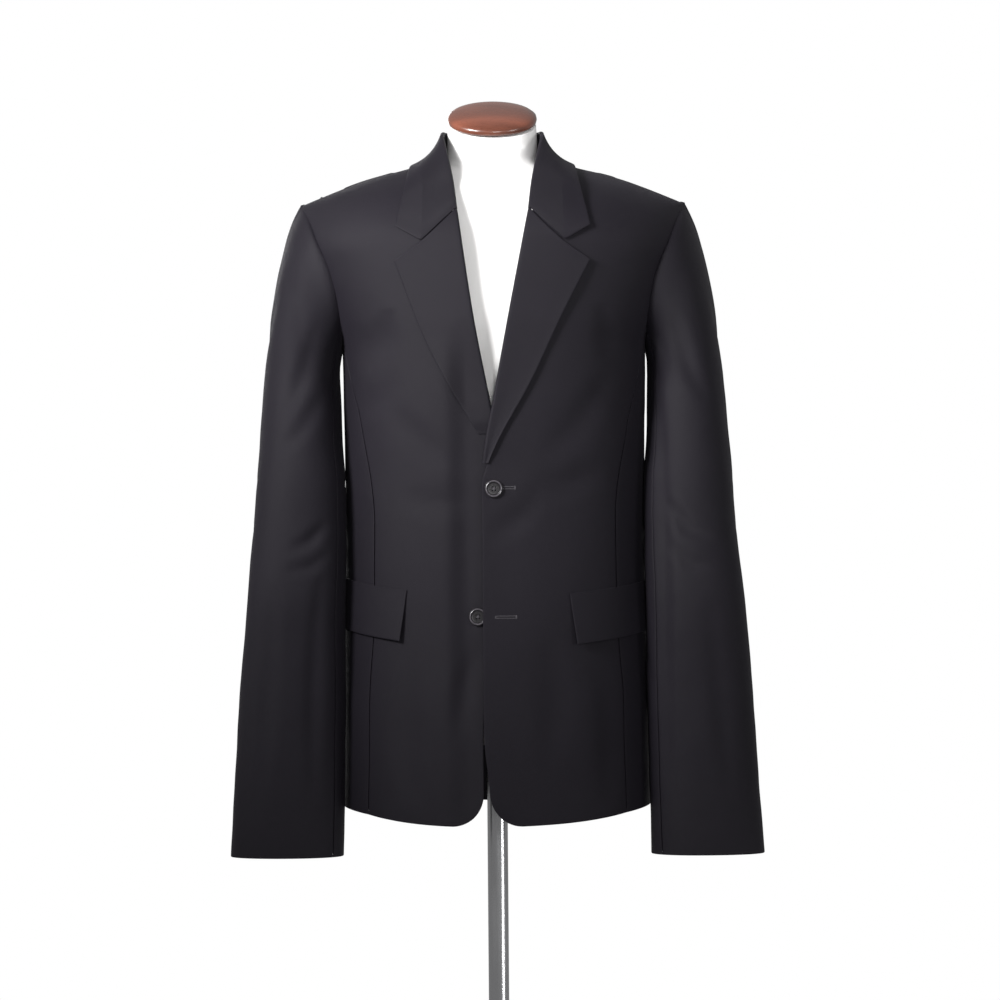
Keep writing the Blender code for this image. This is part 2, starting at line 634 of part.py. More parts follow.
def flap_place(side):
    def place(column, row):
        along, up = column / FLAP_COLUMNS, row / FLAP_ROWS
        further, higher = FLAP_OFFSET[side]
        corner_x = mix(FLAP_FOOT[0], FLAP_TOP[0], up) + further
        height = mix(FLAP_FOOT[1], FLAP_TOP[1], up) + higher + FLAP_RISE * along
        turn = mix(turn_at(corner_x, height), FLAP_END, along)
        lift = FLAP_LIFT + (FLAP_STAND_OFF + FLAP_CORNER_OFF * (1 - along) ** 3) * (1 - up) ** 1.5
        return sided(skin_point(turn, height) + skin_normal(turn, height) * lift, side)

    return place


def turned(name, profile, material, steps=TURNED_STEPS):
    """A profile of radius and height, from the top of the axis down its outer side, turned round Z."""
    shape = bmesh.new()
    points = [shape.verts.new((radius, 0, height)) for radius, height in profile]
    for upper, lower in zip(points, points[1:]):
        shape.edges.new((upper, lower))
    piece = add_object(name, shape, material)
    screw = piece.modifiers.new("Turn", "SCREW")
    screw.steps = screw.render_steps = steps
    screw.use_merge_vertices = True
    screw.merge_threshold = 1e-5
    screw.use_smooth_shade = True
    return piece


def make_buttons(horn):
    profile = [(BUTTON_RADIUS * out, BUTTON_HEIGHT * up) for out, up in BUTTON_PROFILE]
    seats = (("button_top", TOP_BUTTON, 0.0), ("button_low", LOW_BUTTON, -smooth(UNDERLAP, LOW_BUTTON[1])))
    for name, (x, height), depth in seats:
        piece = turned(name, profile, horn, BUTTON_STEPS)
        facing = skin_normal(turn_at(x, height), height).to_track_quat("Z", "Y").to_matrix().to_4x4()
        piece.matrix_world = Matrix.Translation(front_point(x, height, depth + BUTTON_SEAT)) @ facing


# --- Dress form and stand --------------------------------------------------------------------------------

def form_point(turn, height):
    width = smooth(FORM, height, 1)
    depth = smooth(FORM, height, 2 if math.cos(turn) > 0 else 3)
    x = width * math.sin(turn)
    y = depth * max(0.0, 1 - abs(math.sin(turn)) ** FORM_SQUARENESS) ** (1 / FORM_SQUARENESS)
    under_cloth = abs(x) > FORM_NECK[0] or height <= FORM_NECK[1]
    if under_cloth:
        on_back = math.cos(turn) <= 0
        cloth = skin_point(turn_at(x, height + FORM_UNDER, on_back), height + FORM_UNDER)
        y = min(y, abs(cloth.y - SHOULDER_SEAM_Y) * FORM_SLACK)
    return Vector((x, -math.copysign(y, math.cos(turn)), height))


def make_form(linen, wood, metal, iron):
    heights = [FORM[0][0] + 0.0005] + [row[0] for row in FORM[1:]]
    shape = bmesh.new()
    bmesh.ops.create_grid(shape, x_segments=FORM_COLUMNS, y_segments=len(heights) - 1, size=0.5)
    for vertex in shape.verts:
        turn = 2 * math.pi * (vertex.co.x + 0.5)
        row = round((vertex.co.y + 0.5) * (len(heights) - 1))
        point = form_point(turn, heights[row])
        if row == len(heights) - 1:
            point.z = CAP_CENTRE[2] - CAP_SEAT + point.y * math.tan(CAP_TILT)
        vertex.co = point
    bmesh.ops.remove_doubles(shape, verts=shape.verts, dist=1e-6)
    bmesh.ops.holes_fill(shape, edges=shape.edges, sides=FORM_COLUMNS)
    bmesh.ops.recalc_face_normals(shape, faces=shape.faces)
    add_object("form_torso", shape, linen)
    cap = turned("form_cap", CAP_PROFILE, wood, CAP_STEPS)
    cap.location = CAP_CENTRE
    cap.rotation_euler = (CAP_TILT, 0, 0)
    foot = BASE_PROFILE[0][1] + SEAM_HALF
    pole_height = FORM[0][0] - foot
    shape = bmesh.new()
    bmesh.ops.create_cone(
        shape, cap_ends=True, segments=TURNED_STEPS, radius1=POLE_RADIUS, radius2=POLE_RADIUS,
        depth=pole_height,
    )
    pole = add_object("stand_pole", shape, metal)
    pole.location = (0, 0, foot + pole_height / 2)
    turned("stand_base", BASE_PROFILE, iron, BASE_STEPS)


def main():
    cloth = finish("wool", (0.024, 0.022, 0.027), 0.85)
    make_body(cloth)
    make_collar(cloth)
    make_sleeves(cloth)
    for side, name in SIDES:
        sew(f"flap_{name}", FLAP_COLUMNS, FLAP_ROWS, flap_place(side), FACED_CLOTH, cloth, side < 0)
    make_buttons(finish("horn", (0.012, 0.010, 0.012), 0.25))
    make_form(
        finish("linen", (0.80, 0.79, 0.77), 0.9),
        finish("varnished_wood", (0.16, 0.045, 0.022), 0.22),
        finish("steel", (0.42, 0.42, 0.43), 0.28, 1.0),
        finish("painted_iron", (0.03, 0.03, 0.032), 0.45),
    )


for old in list(bpy.data.objects):
    bpy.data.objects.remove(old)
PART = bpy.data.collections.new("blazer_on_form")
bpy.context.scene.collection.children.link(PART)
main()
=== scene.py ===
"""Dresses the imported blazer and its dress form: fine cloth with creases and sewing, finishes and stage."""

import math

import bmesh
import bpy
import numpy as np
from mathutils import Matrix, Vector, noise


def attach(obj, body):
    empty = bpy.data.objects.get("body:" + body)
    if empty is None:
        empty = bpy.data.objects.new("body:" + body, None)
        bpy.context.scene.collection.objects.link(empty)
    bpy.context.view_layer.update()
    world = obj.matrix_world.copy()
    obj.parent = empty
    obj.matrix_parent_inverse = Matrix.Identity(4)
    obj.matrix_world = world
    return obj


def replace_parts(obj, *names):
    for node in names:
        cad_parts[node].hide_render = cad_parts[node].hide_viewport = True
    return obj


bl_info = {
    "name": "Blazer on a dress form",
    "version": (1, 0, 0),
    "blender": (4, 5, 0),
    "location": "3D View > Sidebar > Blazer",
    "description": "Makes the fine cloth, buttons, dress form and studio of a single breasted blazer",
    "category": "Object",
}

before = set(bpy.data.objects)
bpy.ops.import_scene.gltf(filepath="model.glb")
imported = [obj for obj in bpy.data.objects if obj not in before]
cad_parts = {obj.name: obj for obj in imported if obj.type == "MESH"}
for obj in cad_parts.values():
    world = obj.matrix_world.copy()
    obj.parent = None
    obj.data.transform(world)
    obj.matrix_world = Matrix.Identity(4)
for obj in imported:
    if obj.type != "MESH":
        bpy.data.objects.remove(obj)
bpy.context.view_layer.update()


# --- Driving sizes ---------------------------------------------------------------------------------------

CLOTH = 0.0016  # wall of the body and the sleeves
FACED_CLOTH = 0.0018  # wall of lapels, collar and flaps, which are two layers
SEAM_HALF = 0.00010  # half of the gap between two sewn pieces, along the outer skin
FOLD_RADIUS = 0.0026  # outer radius of the rolled edge of a lapel
FOLD_CLEAR = 0.0026  # from the end of the rolled edge to the front's own edge

HEM_FRONT, HEM_FRONT_SEAM, HEM_SIDE, HEM_BACK_SEAM, HEM_BACK = 0.712, 0.7235, 0.728, 0.7255, 0.720
UNDERARM = 1.245
SHOULDER_TIP = 1.403
BREAK = 1.108  # height where the lapels start to roll
GORGE = 1.388  # height where the collar meets the lapel on the roll line
NECK_POINT = 0.060  # distance of the shoulder seam's neck end from the centre
BACK_NECK = 1.446

CORNER = 0.036  # radius of the cutaway at the foot of each front
SUPERELLIPSE = 2.4  # squareness of the body's horizontal section
ARMHOLE_ANGLE = math.radians(25)  # how far the armhole reaches to the front and the back
TIP_REACH = 0.2165  # distance of the shoulder tip from the centre
ROLL_AT_NECK, ROLL_AT_TIP = 0.110, 0.070  # drop over which the shoulder rolls from its seam to the chest
SHOULDER_SEAM_Y = 0.004
SEAM_REACH = 0.13  # distance of the side seams from the body's axis

ARM_STEP = 12  # degrees between the points round an armhole and a sleeve
SIDE_TOP = 144  # degrees round the armhole where the side panel ends, from the shoulder tip
UNDERSLEEVE = (144, 240)  # degrees round the sleeve between the forearm and the hindarm seam
HEM_ROWS = 3  # close rows over the hem, for the rounded corner of the fronts
LOWER_ROWS = 11  # rows of each body panel below the armhole
HEM_SAG = 0.0025  # how far a front's hem bows down between its edges
SIDES = ((1, "left"), (-1, "right"))
NUDGE = 1e-4  # step for slopes, in radians or metres

# Body sections: height, half width, depth of the front, depth of the back
BODY = (
    (0.70, 0.1748, 0.138, 0.122),
    (0.80, 0.1728, 0.136, 0.124),
    (0.95, 0.1712, 0.131, 0.113),
    (1.08, 0.1688, 0.128, 0.096),
    (1.20, 0.1700, 0.132, 0.108),
    (UNDERARM, 0.1712, 0.133, 0.117),
    (1.26, 0.1767, 0.133, 0.119),
    (1.285, 0.1863, 0.132, 0.122),
    (1.324, 0.2004, 0.130, 0.124),
    (1.3645, 0.2137, 0.126, 0.122),
    (SHOULDER_TIP, 0.2165, 0.120, 0.112),
    (1.48, 0.2220, 0.104, 0.090),
)

# Shoulder seam seen from the front: distance from the centre, height
RIDGE = (
    (0.0, 1.4600), (0.055, 1.4535), (0.100, 1.4425), (0.143, 1.4310), (0.2165, SHOULDER_TIP), (0.26, 1.385)
)

# Seams between front, side panel and back: height, distance from the centre
FRONT_SEAM = ((0.70, 0.143), (0.85, 0.140), (0.95, 0.134), (1.05, 0.133), (1.15, 0.147), (1.22, 0.163))
BACK_SEAM = ((0.70, 0.128), (0.85, 0.126), (0.95, 0.120), (1.05, 0.118), (1.15, 0.135), (1.22, 0.158))

# Centre edges: height, x. The left front is upright down to where it is cut
# away, and the right front leans out of sight behind it.
LEFT_EDGE = (
    (0.70, -0.0066), (0.745, -0.0078), (0.775, -0.0105), (0.797, -0.0130), (0.814, -0.0140), (1.090, -0.0140)
)
RIGHT_EDGE = ((0.70, -0.0148), (0.803, -0.0146), (0.944, -0.0015), (1.060, 0.0120))
LEFT_ROLL = ((BREAK, -0.0136), (1.135, -0.0100), (1.172, -0.0028), (1.267, 0.0150), (GORGE, 0.0386))
RIGHT_ROLL = ((BREAK, 0.0080), (1.135, 0.0040), (1.172, -0.0030), (1.267, -0.0210), (GORGE, -0.0386))
NECKLINE = ((GORGE + 0.004, 0.0455), (1.420, 0.0490), (1.4526, NECK_POINT))
UNDERLAP = ((0.70, 0.0030), (0.80, 0.0036), (0.90, 0.0064), (1.18, 0.0064), (1.27, 0.0))  # height, depth
UNDERLAP_START, UNDERLAP_BLEND = 0.055, 0.025  # x where the right front starts to be pressed in, and reach

# Lapel edges: height, x
LEFT_LAPEL_EDGE = ((BREAK, -0.0085), (1.135, 0.0040), (1.2017, 0.0412), (1.2678, 0.0722), (1.333, 0.1055))
RIGHT_LAPEL_EDGE = ((BREAK, 0.0030), (1.1354, -0.0142), (1.243, -0.0731), (1.333, -0.1075))
NOTCH_CORNER = (0.0785, 1.3543)
LAPEL_TIP = (0.1060, 1.3330)
NOTCH_SHARE = 0.576  # share of the lapel's width, from the roll line, where the notch is cut
LAPEL_LIFT = ((0.0, 0.0036), (0.35, 0.0034), (0.80, 0.0042), (1.0, 0.0052))  # share of the width, lift
UNDER_LAPEL_LIFT = ((0.0, 0.0036), (0.50, 0.0034), (1.0, 0.0042))
FOOT_FADE = 0.07  # share of the lapel over which it comes out of the front at its foot
SHOWN_FOOT, HIDDEN_FOOT = 0.002, 0.034  # from the break up to the left lapel's foot, and to the right one's
LEAST_LAPEL = 0.002  # least width of a lapel

# Collar, from the gorge to the centre back: share, fold x y z, edge x y z, neck seam x y z
COLLAR = (
    (0.00, 0.0386, -0.1151, 1.3885, 0.1060, -0.1166, 1.3695, 0.0422, -0.1130, 1.3885),
    (0.18, 0.0425, -0.0930, 1.4200, 0.1015, -0.1040, 1.3950, 0.0483, -0.0845, 1.4209),
    (0.36, 0.0495, -0.0600, 1.4560, 0.0965, -0.0790, 1.4230, 0.0543, -0.0525, 1.4408),
    (0.54, 0.0545, -0.0200, 1.4800, 0.0915, -0.0250, 1.4460, 0.0586, -0.0080, 1.4531),
    (0.70, 0.0530, 0.0180, 1.4865, 0.0865, 0.0280, 1.4480, 0.0545, 0.0205, 1.4524),
    (0.85, 0.0350, 0.0440, 1.4868, 0.0580, 0.0575, 1.4425, 0.0345, 0.0385, 1.4492),
    (1.00, 0.0000, 0.0545, 1.4868, 0.0000, 0.0680, 1.4405, 0.0000, 0.0497, 1.4470),
)
COLLAR_DIP = -0.0234  # from the straight end of the collar down to the notch corner
COLLAR_DIP_FADE = 1.5  # how fast that drop fades along the collar
COLLAR_TUCK = 0.001  # how far the stand's upper edge leans in where it lies on the front
COLLAR_SEWN = 0.07  # share of the collar over which its stand comes up from the gorge
COLLAR_HOLLOW = 0.0060  # how far the fall sinks towards the shoulder between its fold and its edge
COLLAR_HOLLOW_START, COLLAR_HOLLOW_END = 0.36, 0.95  # shares of the collar between which its fall sinks
COLLAR_HOLLOW_EASE = 0.20  # share of the collar over which the sinking sets in and fades
COLLAR_LAID = 0.30  # share of the collar, from the gorge, over which it comes away from the front
COLLAR_CREST = 1.44  # height above which the laid collar no longer follows the front
COLLAR_STEP = 0.02  # share of the collar over which its direction is taken

# Sleeves: height, inner side, outer side, middle y, half depth
SLEEVE = (
    (0.675, 0.1715, 0.2972, -0.056, 0.035),
    (0.775, 0.1690, 0.2909, -0.053, 0.038),
    (0.860, 0.1680, 0.2858, -0.052, 0.042),
    (0.955, 0.1672, 0.2775, -0.055, 0.0465),
    (1.040, 0.1652, 0.2698, -0.043, 0.053),
    (1.090, 0.1662, 0.2662, -0.034, 0.058),
    (1.137, 0.1704, 0.2632, -0.020, 0.064),
    (1.197, 0.1729, 0.2595, -0.002, 0.070),
)
SLEEVE_SQUARENESS = 2.2
SLEEVE_TOP = 1.197  # height where the sleeve has become a level tube
SLEEVE_STEP = 0.03  # drop over which the tube's direction is taken
# Pull of the sleeve's curves, by degrees from the shoulder tip: outward, down, back up from the tube
SLEEVE_PULL = (
    (0, 0.0105, -0.003, 0.168),
    (60, 0.0160, 0.000, 0.110),
    (110, 0.0140, 0.004, 0.060),
    (150, 0.0050, 0.012, 0.025),
    (180, 0.0014, 0.016, 0.015),
)
SLEEVE_GAP, SLEEVE_TUCK = -0.0012, 0.0009  # of the sleeve head at the armhole, along and under the panels
SLEEVE_SEAM = 0.14  # degrees
BESIDE_SEAM = (0.05, 0.0005)  # turn and drop from the armhole to where the panels' normal is taken
UPRIGHT_SEAM = 0.1  # sine of the armhole's angle under which its seam counts as level
TIP_RISE, TIP_BLEND = 0.0014, 20  # how much higher the sleeve head lies at the shoulder tip, and its degrees
TIP_SPREAD = 60  # degrees from the shoulder tip over which the sleeve turns down from the shoulder

# Hip pocket flaps: distance from the centre and height of the front corners, turn of the far end
FLAP_TOP = (0.0888, 0.9713)
FLAP_FOOT = (0.0955, 0.9155)
FLAP_OFFSET = {1: (-0.0080, -0.0050), -1: (0.0080, 0.0)}  # further from the centre and up, on each side
FLAP_END = math.radians(82)
FLAP_RISE = 0.0145  # how much higher the far end is
FLAP_GAP = 0.0004  # between a flap and the cloth under it, at its seam
FLAP_STAND_OFF, FLAP_CURL = 0.0012, 0.0032  # how far its foot stands off, and its front corner beyond that

BUTTON_RADIUS, BUTTON_HEIGHT = 0.0100, 0.0030
TOP_BUTTON = (-0.0010, 1.082)
LOW_BUTTON = (-0.0198, 0.942)

# Dress form: height, half width, depth of the front, depth of the back
FORM = (
    (0.800, 0.1480, 0.110, 0.096),
    (0.840, 0.1530, 0.114, 0.101),
    (0.950, 0.1520, 0.112, 0.094),
    (1.080, 0.1430, 0.106, 0.077),
    (1.200, 0.1500, 0.114, 0.090),
    (1.280, 0.1580, 0.117, 0.102),
    (1.340, 0.1660, 0.112, 0.106),
    (1.380, 0.1710, 0.104, 0.100),
    (1.400, 0.1690, 0.096, 0.092),
    (1.412, 0.1620, 0.090, 0.084),
    (1.420, 0.1490, 0.084, 0.077),
    (1.430, 0.1200, 0.073, 0.064),
    (1.437, 0.0880, 0.062, 0.0480),
    (1.443, 0.0620, 0.0575, 0.0430),
    (1.450, 0.0530, 0.0550, 0.0420),
    (1.462, 0.0510, 0.0530, 0.0430),
    (1.475, 0.0507, 0.0500, 0.0440),
    (1.500, 0.0496, 0.0475, 0.0430),
)
FORM_UNDER = 0.0065  # how far the form's shoulders lie under the cloth's outer skin
FORM_CLEAR = 0.97  # most of the cloth's depth that the form fills
FORM_SQUARENESS = 2.2
FORM_NECK_EDGE, FORM_NECK_FOOT = NECK_POINT - 0.004, 1.435  # x and height of the neck, free of cloth
FORM_GIRTH = 0.84  # round the torso, for the scale of its weave
FORM_SEAT = 0.0005  # from the top of the pole to the torso
CAP_TILT = math.radians(25)
CAP_CENTRE = (0.0, -0.0022, 1.4995)
SLANT_START = 1.455  # height from which the neck's rows turn towards the slant of its cap
CAP_UNDER = 0.0050  # from the cap's centre down to the top of the neck
CAP_PROFILE = (
    (0.0, 0.0108),
    (0.0200, 0.0102),
    (0.0360, 0.0084),
    (0.0465, 0.0055),
    (0.0500, 0.0028),
    (0.0506, 0.0),
    (0.0500, -0.0025),
    (0.0475, -0.0038),
    (0.0, -0.0038),
)
POLE_RADIUS = 0.0115
BASE_PROFILE = (
    (0.0, 0.030),
    (0.0190, 0.030),
    (0.0215, 0.027),
    (0.0235, 0.019),
    (0.0600, 0.0165),
    (0.1580, 0.0120),
    (0.1720, 0.0085),
    (0.1750, 0.0045),
    (0.1740, 0.0),
    (0.0, 0.0),
)


# --- Curves ----------------------------------------------------------------------------------------------

def smooth(table, at, column=1):
    """A column of a table at a height, on a monotone cubic through the rows."""
    rows = list(table)
    if at <= rows[0][0]:
        return rows[0][column]
    if at >= rows[-1][0]:
        return rows[-1][column]
    slopes = [(b[column] - a[column]) / (b[0] - a[0]) for a, b in zip(rows, rows[1:])]
    tangents = [slopes[0]]
    for before, after in zip(slopes, slopes[1:]):
        same_way = before * after > 0
        tangents.append(2 * before * after / (before + after) if same_way else 0.0)
    tangents.append(slopes[-1])
    for index, (a, b) in enumerate(zip(rows, rows[1:])):
        if at <= b[0]:
            span = b[0] - a[0]
            t = (at - a[0]) / span
            start = (1 + 2 * t) * (1 - t) ** 2 * a[column] + t * (1 - t) ** 2 * span * tangents[index]
            end = t * t * (3 - 2 * t) * b[column] + t * t * (t - 1) * span * tangents[index + 1]
            return start + end
    return rows[-1][column]


def mix(a, b, t):
    return a + (b - a) * t


def ease(t):
    t = min(max(t, 0.0), 1.0)
    return t * t * (3 - 2 * t)


# --- The body's skin -------------------------------------------------------------------------------------

def skin_point(turn, height):
    """A point of the body's outer skin. The turn runs from 0 at the front centre over the left side to pi."""
    width = smooth(BODY, height, 1)
    depth = smooth(BODY, height, 2 if math.cos(turn) > 0 else 3)
    x = width * math.sin(turn)
    fullness = max(0.0, 1 - abs(math.sin(turn)) ** SUPERELLIPSE) ** (1 / SUPERELLIPSE)
    y = -math.copysign(depth * fullness, math.cos(turn))
    roll = mix(ROLL_AT_NECK, ROLL_AT_TIP, min(1.0, abs(x) / TIP_REACH))
    drop = max(0.0, smooth(RIDGE, abs(x)) - height)
    if drop < roll:
        y = SHOULDER_SEAM_Y + (y - SHOULDER_SEAM_Y) * math.sqrt(1 - (1 - drop / roll) ** 2)
    return Vector((x, y, height))


def skin_normal(turn, height):
    across = skin_point(turn + NUDGE, height) - skin_point(turn - NUDGE, height)
    upward = skin_point(turn, height + NUDGE) - skin_point(turn, height - NUDGE)
    return across.cross(upward).normalized()


def turn_at(x, height, back=False):
    """The turn where the skin is at this x, on the front or the back."""
    turn = math.asin(max(-1.0, min(1.0, x / smooth(BODY, height, 1))))
    return math.pi - turn if back else turn


def front_point(x, height, out=0.0):
    """A point of the front at this x and height, moved out from the skin."""
    turn = turn_at(x, height)
    return skin_point(turn, height) + skin_normal(turn, height) * out


def armhole(degrees):
    """Turn and height of a point of the left armhole, from the shoulder tip over the front to the back."""
    around = math.radians(degrees)
    height = mix(UNDERARM, SHOULDER_TIP, (1 + math.cos(around)) / 2)
    return math.pi / 2 - ARMHOLE_ANGLE * math.sin(around), height


# --- Body panels -----------------------------------------------------------------------------------------

SIDE_TOP_HEIGHT = armhole(SIDE_TOP)[1]
UPPER_ROWS = SIDE_TOP / ARM_STEP
PANEL_ROWS = LOWER_ROWS + UPPER_ROWS


def row_height(row, hem, top, middle=None):
    """Height of a row at one edge: close rows over the hem, even rows to the underarm, then the armhole's."""
    rise = (SIDE_TOP_HEIGHT - HEM_SIDE) / (SHOULDER_TIP - HEM_SIDE)
    middle = mix(hem, top, rise) if middle is None else middle
    if row <= HEM_ROWS:
        return hem + CORNER * row / HEM_ROWS
    if row <= LOWER_ROWS:
        return mix(hem + CORNER, middle, (row - HEM_ROWS) / (LOWER_ROWS - HEM_ROWS))
    height = armhole(SIDE_TOP - ARM_STEP * (row - LOWER_ROWS))[1]
    return mix(middle, top, (height - SIDE_TOP_HEIGHT) / (SHOULDER_TIP - SIDE_TOP_HEIGHT))


def side_seam(row, back=False):
    """Turn and height of a row at the seam of the side panel or, above it, at the armhole."""
    if row <= LOWER_ROWS:
        hem = HEM_BACK_SEAM if back else HEM_FRONT_SEAM
        height = row_height(row, hem, SHOULDER_TIP, SIDE_TOP_HEIGHT)
        turn, top = armhole(SIDE_TOP)
        table = BACK_SEAM if back else FRONT_SEAM
        x = smooth((*table, (top, skin_point(turn, top).x)), height)
        return turn_at(x, height, back), height
    turn, height = armhole(SIDE_TOP - ARM_STEP * (row - LOWER_ROWS))
    return (math.pi - turn if back else turn), height


def open_seam(turn, way):
    """Moves a seam's turn by half the gap between two pieces."""
    return turn + way * SEAM_HALF / SEAM_REACH


def sided(point, side):
    """A point of the left side, or its mirror image for the right."""
    return Vector((point.x * side, point.y, point.z))


def inner_edge(side):
    """Height and distance to the wearer's side of a front's inner edge: centre edge, roll line, neckline."""
    centre, roll = (LEFT_EDGE, LEFT_ROLL) if side > 0 else (RIGHT_EDGE, RIGHT_ROLL)
    behind_fold = FOLD_RADIUS + FOLD_CLEAR
    rows = [(height, x * side) for height, x in centre]
    rows += [(height, x * side + behind_fold) for height, x in roll]
    return tuple(rows) + NECKLINE


def underlap(x, height, side):
    """How far the right front is pressed in where it lies behind the left one."""
    return 0.0 if side > 0 else -smooth(UNDERLAP, height) * ease((x + UNDERLAP_START) / UNDERLAP_BLEND)


def rounded_corner(reach, rise):
    """Maps the corner of a square of CORNER onto a quarter disc, from the inner edge and the hem."""
    p = 1 - reach / CORNER
    q = 1 - rise / CORNER
    if p <= 0 or q <= 0:
        return reach, rise
    return CORNER * (1 - p * math.sqrt(1 - q * q / 2)), CORNER * (1 - q * math.sqrt(1 - p * p / 2))


def front_place(side):
    """Place of a share of a front's width, from its centre edge, and a row."""
    edge = inner_edge(side)
    neck_height = smooth(RIDGE, NECK_POINT)

    def place(share, row):
        out_turn, out_height = side_seam(row)
        in_height = row_height(row, HEM_FRONT, neck_height)
        height = mix(in_height, out_height, share)
        height -= HEM_SAG * math.sin(math.pi * share) * (1 - row / PANEL_ROWS)
        in_turn = turn_at(smooth(edge, in_height), in_height)
        turn = mix(in_turn, open_seam(out_turn, -1), share)
        top_turn = mix(turn_at(NECK_POINT, neck_height), math.pi / 2, share)
        top_height = mix(neck_height, SHOULDER_TIP, share)
        rise = max(0.0, (row - LOWER_ROWS) / UPPER_ROWS) ** 2
        height += (smooth(RIDGE, skin_point(top_turn, top_height).x) - top_height) * rise
        if row < HEM_ROWS:
            inner = smooth(edge, in_height)
            hem = height - (in_height - HEM_FRONT)
            reach, rise = rounded_corner(skin_point(turn, height).x - inner, height - hem)
            height = hem + rise
            turn = turn_at(inner + reach, height)
        point = skin_point(turn, height)
        point += skin_normal(turn, height) * underlap(point.x * side, height, side)
        if row == PANEL_ROWS:
            point.y = SHOULDER_SEAM_Y - 2 * SEAM_HALF
        return sided(point, side)

    return place


def side_place(side):
    """Place of a share of a side panel's width, from its front seam, and a row."""
    def place(share, row):
        front_turn, front_height = side_seam(row)
        back_turn, back_height = side_seam(row, back=True)
        height = mix(front_height, back_height, share)
        turn = mix(open_seam(front_turn, 1), open_seam(back_turn, -1), share)
        height += (HEM_SIDE - HEM_FRONT_SEAM) * math.sin(math.pi * share) * (1 - ease(row / (2 * HEM_ROWS)))
        across = mix(SIDE_TOP, 360 - SIDE_TOP, share)
        dip = ease((row - 2 * HEM_ROWS) / (LOWER_ROWS - 2 * HEM_ROWS))
        height += (armhole(across)[1] - SIDE_TOP_HEIGHT) * dip
        turn += (armhole(across)[0] - mix(armhole(SIDE_TOP)[0], armhole(360 - SIDE_TOP)[0], share)) * dip
        return sided(skin_point(turn, height), side)

    return place


def back_place(side):
    """Place of a share of a back's width, from the centre back seam, and a row."""
    neck_height = smooth(RIDGE, NECK_POINT)

    def place(share, row):
        out_turn, out_height = side_seam(row, back=True)
        in_height = row_height(row, HEM_BACK, BACK_NECK)
        height = mix(in_height, out_height, share)
        turn = mix(open_seam(math.pi, -1), open_seam(out_turn, 1), share)
        top_x = skin_point(mix(math.pi, math.pi / 2, share), SHOULDER_TIP).x
        top_height = smooth(RIDGE, top_x)
        if top_x < NECK_POINT:
            top_height = mix(BACK_NECK, neck_height, (top_x / NECK_POINT) ** 2)
        rise = max(0.0, (row - LOWER_ROWS) / UPPER_ROWS) ** 2
        height += (top_height - mix(BACK_NECK, SHOULDER_TIP, share)) * rise
        point = skin_point(turn, height)
        if row == PANEL_ROWS and top_x >= NECK_POINT:
            point.y = SHOULDER_SEAM_Y + 2 * SEAM_HALF
        return sided(point, side)

    return place


# --- Lapels and collar -----------------------------------------------------------------------------------

def roll_line(side, height):
    return smooth(LEFT_ROLL if side > 0 else RIGHT_ROLL, height) * side


def faced_point(x, height, out, side):
    """A point of a front, moved out from its skin and pressed in where the other front laps over it."""
    return front_point(x, height, out + underlap(x * side, height, side))


def lapel_place(side):
    """Place of a lapel: across runs from -1 to 0 round the rolled edge, then to 1 at the lapel's own edge."""
    edge = LEFT_LAPEL_EDGE if side > 0 else RIGHT_LAPEL_EDGE
    lift = LAPEL_LIFT if side > 0 else UNDER_LAPEL_LIFT
    foot = BREAK + (SHOWN_FOOT if side > 0 else HIDDEN_FOOT)

    def top_height(share):
        if share < NOTCH_SHARE:
            return mix(GORGE, NOTCH_CORNER[1], share / NOTCH_SHARE) - SEAM_HALF
        return mix(NOTCH_CORNER[1], LAPEL_TIP[1], (share - NOTCH_SHARE) / (1 - NOTCH_SHARE)) - SEAM_HALF

    def place(across, up):
        height = mix(foot, top_height(max(across, 0.0)), up)
        sunk = FACED_CLOTH * (1 - ease(up / FOOT_FADE))
        start = roll_line(side, height) + FOLD_RADIUS
        if across < 0:
            angle = math.pi * (1 + across)
            out = FOLD_RADIUS - CLOTH - FOLD_RADIUS * math.cos(angle)
            return sided(faced_point(start - FOLD_RADIUS * math.sin(angle), height, out - sunk, side), side)
        end = max(start + LEAST_LAPEL, smooth(edge, height) * side)
        return sided(faced_point(mix(start, end, across), height, smooth(lift, across) - sunk, side), side)

    return place


